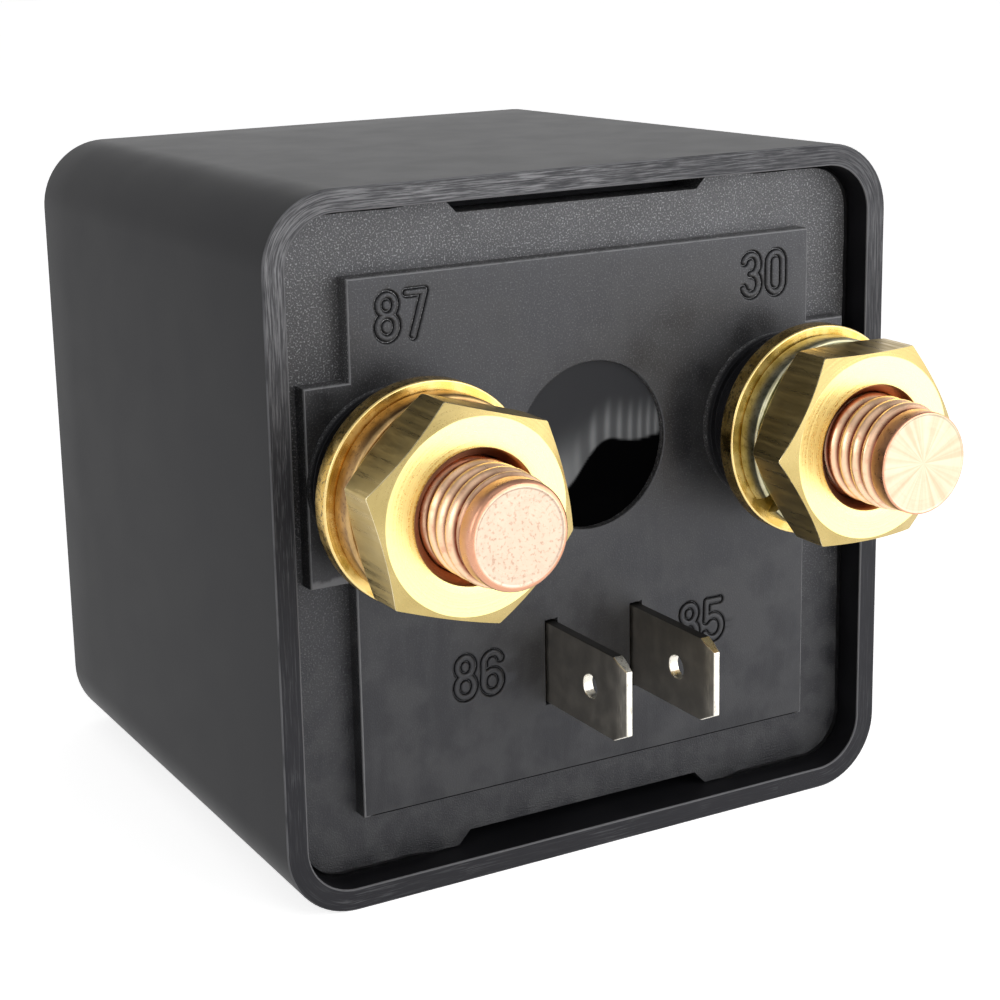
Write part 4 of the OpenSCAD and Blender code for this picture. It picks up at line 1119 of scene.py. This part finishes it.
def makeNut(key, shape):
    # Rows from the bore over the countersink, the face, the chamfer cone and the side to the back.
    # The chamfer's outer border and the side follow the hexagon's radius at each angle.
    s = shape
    front, back = nodeDepths("nut_" + key)
    side, corner = s["flat"] / 2, s["cornerRound"]
    touch = math.atan((side - corner) * math.tan(hexTurn / 2) / side)
    flats = np.linspace(-touch, touch, s["flatSteps"])
    corners = np.linspace(touch, hexTurn - touch, s["cornerSteps"])[1:-1]
    local = np.concatenate([flats, corners])
    angle = np.concatenate([local + k * hexTurn for k in range(6)])
    folded = (angle + hexTurn / 2) % hexTurn - hexTurn / 2
    hexR = hexRadius(folded, side, corner, touch)
    turn = angle + math.radians(nutTurn[key]) + hexTurn / 2
    roundR = side - s["roundInset"]
    slope = s["chamfer"] / (side / math.cos(hexTurn / 2) - roundR)
    sinkR = s["bore"] + s["sink"]
    edge, small = s["edge"], s["edge"] * s["edgeInset"]
    # The face column is the share of the painted lit tone; the last column marks painted shade in the bore
    # and countersink
    rows = []       # depth, radius, face, edge, deep

    def add(depth, radius, face=0.0, edgeValue=0.0, deep=0.0):
        rows.append([np.broadcast_to(v, hexR.shape) for v in (depth, radius, face, edgeValue, deep)])

    add(back - s["sink"], s["bore"], deep=1)
    add(front + s["sink"], s["bore"], deep=1)
    add(front + s["mouthDepth"], s["bore"] + s["mouthWidth"], deep=1)
    add(front + edge, sinkR - edge, deep=s["mouthShade"])
    add(front + edge * s["lipDepth"], sinkR - small, face=s["lipValue"], edgeValue=s["lipValue"])
    for share in s["faceShares"]:
        add(front, sinkR + share * (roundR - sinkR), face=1)
    add(front, roundR, face=1, edgeValue=s["roundWear"])
    for i, share in enumerate(s["chamferShares"]):
        out = share * (hexR - roundR)
        add(front + slope * out, roundR + out, face=s["chamferLightShare"], edgeValue=0 if i else s["roundWear"])
    inner = slope * (hexR - roundR)
    add(front + inner + edge * s["sideDepth"], hexR - small, edgeValue=1.0)
    for share in s["sideShares"]:
        add(front + inner + edge + share * (back - front - 2 * inner - 2 * edge), hexR)
    add(back - inner - edge * s["sideDepth"], hexR - small, edgeValue=s["backEdge"])
    for share in s["backShares"]:
        out = share * (hexR - roundR)
        add(back - slope * out, roundR + out, face=s["backFace"])
    add(back, sinkR, face=s["backFace"])
    depth, radius, face, edgeValue, deep = np.array(rows).transpose(1, 0, 2)
    ring = sheet(aroundAxis(studX[key], depth, radius, turn), wrapRows=True, wrapCols=True,
                 face=face, edge=edgeValue, deep=deep)
    mesh = buildMesh("nut" + key, [ring], sharpDeg=s["sharpDeg"])
    addPiece("hexNut" + key, mesh, "nut_" + key, ["nut_" + key], nutBrass[key])


for key in studX:
    makeNut(key, nutShape)


# Washers

washerShape = dict(outer=8.0, bore=4.28, edges=(0.12, 0.16, 0.2, 0.12), steps=150, rimBand=0.02, arcSteps=6)
lockShape = dict(
    outer=7.3, bore=4.28, edges=(0.28,) * 4, cut=1.25, slant=0.35, steps=150, rimBand=0.02, arcSteps=5,
    frontWear=0.8, cutWear=0.6)
lockTurn = {"87": 300.0, "30": 221.0}


def ringSection(shape, front, back):
    # The ring's section with rounded corners, its front edge values and 1 on the outer rim
    inner, outer = shape["bore"], shape["outer"]
    corners = [(front, inner), (front, outer), (back, outer), (back, inner)]
    path, edge = filletPath(corners, shape["edges"], steps=shape["arcSteps"])
    frontEdge = edge * (path[:, 0] < (front + back) / 2)
    return path, frontEdge[:, None], (path[:, 1:] > outer - shape["rimBand"]).astype(float)


def makeWasher(key, shape):
    # A turned ring with rounded edges, all a little different
    node, body = "flat_washer_" + key, "washers_" + key
    path, frontEdge, rimFace = ringSection(shape, *nodeDepths(node))
    points = turnedPoints(path[:, 0], path[:, 1], studX[key], shape["steps"])
    ring = sheet(points, wrapRows=True, wrapCols=True, edge=frontEdge, rimFace=rimFace)
    mesh = buildMesh("washer" + key, [ring])
    addPiece("flatWasher" + key, mesh, body, [node], washerBrass[key])


def makeLock(key, shape):
    # A square section carried once round, less the cut; the section leans at the cut, and a middle
    # point closes each end
    node, body = "spring_washer_" + key, "washers_" + key
    front, back = nodeDepths(node)
    path, frontEdge, rimFace = ringSection(shape, front, back)
    middleR = (shape["bore"] + shape["outer"]) / 2
    half = shape["cut"] / 2 / middleR
    start = math.radians(lockTurn[key])
    turn = np.linspace(start + half, start + 2 * np.pi - half, shape["steps"])[None, :]
    angle = turn + (path[:, :1] - (front + back) / 2) * shape["slant"] / middleR
    points = aroundAxis(studX[key], path[:, :1], path[:, 1:], angle)
    ends = [points[:, i].mean(0) + 0 * points[:, i] for i in (0, -1)]
    points = np.concatenate([ends[0][:, None], points, ends[1][:, None]], axis=1)
    cutFace = np.zeros(points.shape[:2])
    cutFace[:, :2] = cutFace[:, -2:] = 1
    edge = np.maximum(frontEdge * shape["frontWear"], cutFace * shape["cutWear"])
    mesh = buildMesh("lock" + key, [sheet(points, wrapRows=True, edge=edge, rimFace=rimFace)])
    addPiece("springWasher" + key, mesh, body, [node], lockMetal[key])


for key in studX:
    makeWasher(key, washerShape)
    makeLock(key, lockShape)


# Blades

bladeShape = dict(
    half=3.15, thick=0.8, tip=-9.6, noseLength=1.5, noseHeight=0.75, rear=5.3, hole=0.9, holeBack=4.6,
    coinLength=1.0, coin=0.15, edge=0.05, shoulder=1.1, shoulderLength=1.6, shoulderLap=0.1, tail=5.0,
    tailWidth=3.0, rounds=(0.12, 0.12, 0.02, 0.02, 0.12, 0.12), arcSteps=3, borderSteps=90, faceRows=10,
    insetShare=1.2, sideCells=3, coinedFrom=0.02, tipBand=0.02, holeCut=0.8, sharpDeg=30)


def makeBlade(key, shape):
    # Rays from the hole's middle to the outline; along each, the plate's half thickness falls towards the
    # coined tip. Both faces are such grids, and the outline's and the hole's borders join them.
    s = shape
    x = nodeMiddle("blade_" + key)[0]
    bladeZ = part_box("blade_" + key)[0][2] / mm + s["shoulder"] + s["half"]
    tip, rear, wide = s["tip"], s["rear"], s["half"]
    noseEnd, nose = tip + s["noseLength"], wide - s["noseHeight"]
    outline = [(tip, nose), (noseEnd, wide), (rear, wide), (rear, -wide), (noseEnd, -wide), (tip, -nose)]
    path, _ = filletPath(outline, s["rounds"], steps=s["arcSteps"])
    closed = np.concatenate([path, path[:1]])
    lengths = runLength(closed)
    want = np.unique(np.concatenate([lengths[:-1], np.linspace(0, lengths[-1], s["borderSteps"])[:-1]]))
    border = np.stack([np.interp(want, lengths, closed[:, i]) for i in (0, 1)], -1)
    hole = np.array([tip + s["holeBack"], 0])
    away = border - hole
    ray = away / np.linalg.norm(away, axis=1)[:, None]
    ahead = np.roll(border, -1, axis=0) - np.roll(border, 1, axis=0)
    inward = np.stack([ahead[:, 1], -ahead[:, 0]], -1) / np.linalg.norm(ahead, axis=1)[:, None]
    inset = border + inward * s["edge"] * s["insetShare"]
    ring = hole + ray * s["hole"]
    lip = hole + ray * (s["hole"] + s["edge"])
    shares = np.linspace(0, 1, s["faceRows"])[:, None, None]
    grid = np.concatenate([ring[None], lip + shares * (inset - lip), border[None]])
    u, z = grid[..., 0], grid[..., 1]
    coin = smoothStep(1 - (u - tip) / s["coinLength"])
    sunk = np.zeros((len(grid), 1))
    sunk[0] = sunk[-1] = s["edge"]
    half = s["thick"] / 2 - s["coin"] * coin - sunk
    left, right = (np.stack([x + sign * half, rimY + u, bladeZ + z], -1) for sign in (-1, 1))
    n = s["sideCells"]
    across = lambda row: np.stack([(left[row] * (n - k) + right[row] * k) / n for k in range(n + 1)])
    # The tip and its slants are bright cuts; the long edges are painted dark as shade
    atTip = (border[:, 0] < noseEnd + s["tipBand"]).astype(float)
    cutRows, longEdgeShadeRows = np.zeros(grid.shape[:2]), np.zeros(grid.shape[:2])
    cutRows[-1], cutRows[0], longEdgeShadeRows[-1] = atTip, s["holeCut"], 1 - atTip
    coined = (coin > s["coinedFrom"]).astype(float)
    faceValues = dict(coined=coined, cut=cutRows, longEdge=longEdgeShadeRows)
    sheets = [sheet(side, wrapCols=True, **faceValues) for side in (left, right)]
    sheets.append(sheet(across(-1), wrapCols=True, cut=atTip[None], longEdge=1 - atTip[None]))
    sheets.append(sheet(across(0), wrapCols=True, cut=s["holeCut"]))
    # The shoulder and the tail are plain blocks behind the header
    shoulderStart = rear - s["shoulderLap"]
    shoulderEnd = shoulderStart + s["shoulderLength"]
    reach = wide + s["shoulder"]
    blocks = ((-reach, reach, shoulderStart, shoulderEnd),
              (wide - s["tailWidth"], wide, shoulderEnd, shoulderEnd + s["tail"]))
    sideX = np.array([-1, -1, 1, 1])[:, None] * s["thick"] / 2
    for low, high, start, end in blocks:
        middle = np.array([[(start + end) / 2, (low + high) / 2]] * 4)
        corner = np.array([(start, low), (start, high), (end, high), (end, low)])
        corners = np.stack([middle, corner, corner, middle])
        u, z = corners[..., 0], corners[..., 1]
        block = np.stack([x + sideX + 0 * u, rimY + u, bladeZ + z], -1)
        sheets.append(sheet(block, wrapCols=True))
    mesh = buildMesh("blade" + key, sheets, sharpDeg=s["sharpDeg"])
    addPiece("bladeTab" + key, mesh, "root", ["blade_" + key], bladeMetal)


for key in ("86", "85"):
    makeBlade(key, bladeShape)


# Nodes inside the case keep their own meshes and get their finishes

innerFinishes = {
    "silverContact": ["contact_tip_87", "contact_tip_30", "bridge_tips"],
    "leadWire": ["coil_lead_86", "coil_lead_85"],
    "copperBar": ["contact_bridge"],
    "naturalNylon": ["insulating_bush", "insulating_washer", "bobbin"],
    "springWire": ["contact_spring", "return_spring", "retaining_clip"],
    "platedSteel": ["spring_seat", "push_rod", "pole_plate", "yoke", "frame_screws"],
    "softIron": ["plunger", "fixed_core"],
    "sleeveBrass": ["guide_sleeve"],
    "windingWire": ["coil_winding"],
    "coilTape": ["coil_tape"]}
for name, nodes in innerFinishes.items():
    for node in nodes:
        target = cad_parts[node].data
        target.materials.clear()
        target.materials.append(innerMaterials[name])
print("inner nodes finished")


# Floor, light and camera

studioSetup = dict(
    floorSize=3.0, floorTone=(0.86, 0.86, 0.86), floorPale=1.03, floorGlow=0.75, fibreScale=60.0,
    fibreSpan=(0.3, 0.7), floorRough=0.9, floorSpecular=0.1, floorLines=5,
    worldLight=0.5, ceilingSpan=(0.3, 0.9, 1.0, 0.3),
    lamps=[
        dict(name="lowCard", azimuth=33, elevation=11, distance=95, size=(190, 88), watts=0.07),
        dict(name="keyPanel", azimuth=34, elevation=22, distance=420, size=(300, 240), watts=0.26),
        dict(name="topPanel", azimuth=-20, elevation=72, distance=460, size=(360, 300), watts=0.15),
        dict(name="leftPanel", azimuth=-72, elevation=22, distance=460, size=(200, 260), watts=0.3),
        dict(name="backCard", azimuth=152, elevation=17, distance=420, size=(240, 150), watts=0.045)])
cameraSetup = dict(
    azimuth=-29.70, elevation=13.71, roll=-1.08, focal=2187.0, aimX=-8.38, aimUp=7.81, distance=155.5,
    centreRow=430.0, frameSide=1000.0, sensor=36.0, clip=(0.005, 20.0))
white = (1.0, 1.0, 1.0)


def seenRays(w):
    # Light Path's sockets, and 1 for camera, glossy and transmission rays
    path = w.node("ShaderNodeLightPath").outputs
    seen = w.math("MAXIMUM", path["Is Camera Ray"], path["Is Glossy Ray"])
    return path, w.math("MAXIMUM", seen, path["Is Transmission Ray"])


def makeFloor(setup):
    # A square grid under the object; camera, glossy and transmission rays see it near white
    side = setup["floorSize"] / mm / 2
    lines = np.linspace(-side, side, setup["floorLines"])
    x, y = np.meshgrid(lines, lines, indexing="ij")
    mesh = buildMesh("floor", [sheet(np.stack([x, y, 0 * x], -1))], outward=False)
    if mesh.polygons[0].normal.z < 0:
        mesh.flip_normals()
    material, shader, w = newMaterial(
        "paleFloor", Emission_Color=white, Roughness=setup["floorRough"],
        Specular_IOR_Level=setup["floorSpecular"])
    fibre = w.noise(w.place(), setup["fibreScale"], broadDetail)
    paler = tuple(t * setup["floorPale"] for t in setup["floorTone"])
    tone = w.blend(w.ramp(fibre, *setup["fibreSpan"]), setup["floorTone"], paler)
    _, seen = seenRays(w)
    w.feed(shader.inputs["Emission Strength"], w.times(seen, setup["floorGlow"]))
    finishShader(w, shader, tone, None, None)
    floor = bpy.data.objects.new("paleFloor", mesh)
    bpy.context.scene.collection.objects.link(floor)
    mesh.materials.append(material)


def makeWorld(setup):
    # Even light, seen white by camera, glossy and transmission rays, and dimmer overhead
    world = bpy.data.worlds.new("studio")
    bpy.context.scene.world = world
    world.use_nodes = True
    w = Wiring(world.node_tree)
    background = world.node_tree.nodes["Background"]
    w.feed(background.inputs["Color"], white)
    path, seen = seenRays(w)
    strength = w.plus(w.times(seen, 1 - setup["worldLight"]), setup["worldLight"])
    ceiling = w.ramp(w.parts(w.place())["Z"], *setup["ceilingSpan"])
    ceiling = w.math("MAXIMUM", ceiling, path["Is Camera Ray"])
    w.feed(background.inputs["Strength"], w.times(strength, ceiling))


def directionFrom(azimuth, elevation):
    a, e = math.radians(azimuth), math.radians(elevation)
    return Vector((math.sin(a) * math.cos(e), -math.cos(a) * math.cos(e), math.sin(e)))


def makeLamps(setup):
    aim = Vector((0, rimY, midZ)) * mm
    for lamp in setup["lamps"]:
        light = bpy.data.lights.new(lamp["name"], "AREA")
        light.shape = "RECTANGLE"
        light.size, light.size_y = (v * mm for v in lamp["size"])
        light.energy = lamp["watts"]
        holder = bpy.data.objects.new(lamp["name"], light)
        away = directionFrom(lamp["azimuth"], lamp["elevation"])
        holder.location = aim + away * lamp["distance"] * mm
        holder.rotation_euler = away.to_track_quat("Z", "Y").to_euler()
        bpy.context.scene.collection.objects.link(holder)


def makeCamera(setup):
    # The photograph's view: the picture's centre line lies below the lens axis by a small shift
    s = setup
    data = bpy.data.cameras.new("camera")
    data.sensor_width = s["sensor"]
    data.sensor_fit = "HORIZONTAL"
    data.lens = s["focal"] / s["frameSide"] * data.sensor_width
    data.shift_y = (s["centreRow"] - s["frameSide"] / 2) / s["frameSide"]
    data.clip_start, data.clip_end = s["clip"]
    back = directionFrom(s["azimuth"], s["elevation"])
    right = (-back).cross(Vector((0, 0, 1))).normalized()
    up = right.cross(-back)
    roll = math.radians(s["roll"])
    rolledRight = right * math.cos(roll) + up * math.sin(roll)
    rolledUp = up * math.cos(roll) - right * math.sin(roll)
    aim = Vector((s["aimX"], rimY, midZ + s["aimUp"]))
    place = (aim + back * s["distance"]) * mm
    turn = Matrix((rolledRight, rolledUp, back)).transposed().to_4x4()
    camera = bpy.data.objects.new("camera", data)
    camera.matrix_world = Matrix.Translation(place) @ turn
    bpy.context.scene.collection.objects.link(camera)
    bpy.context.scene.camera = camera


makeFloor(studioSetup)
makeWorld(studioSetup)
makeLamps(studioSetup)
makeCamera(cameraSetup)
bpy.context.scene.view_settings.view_transform = "Standard"
print("studio ready")
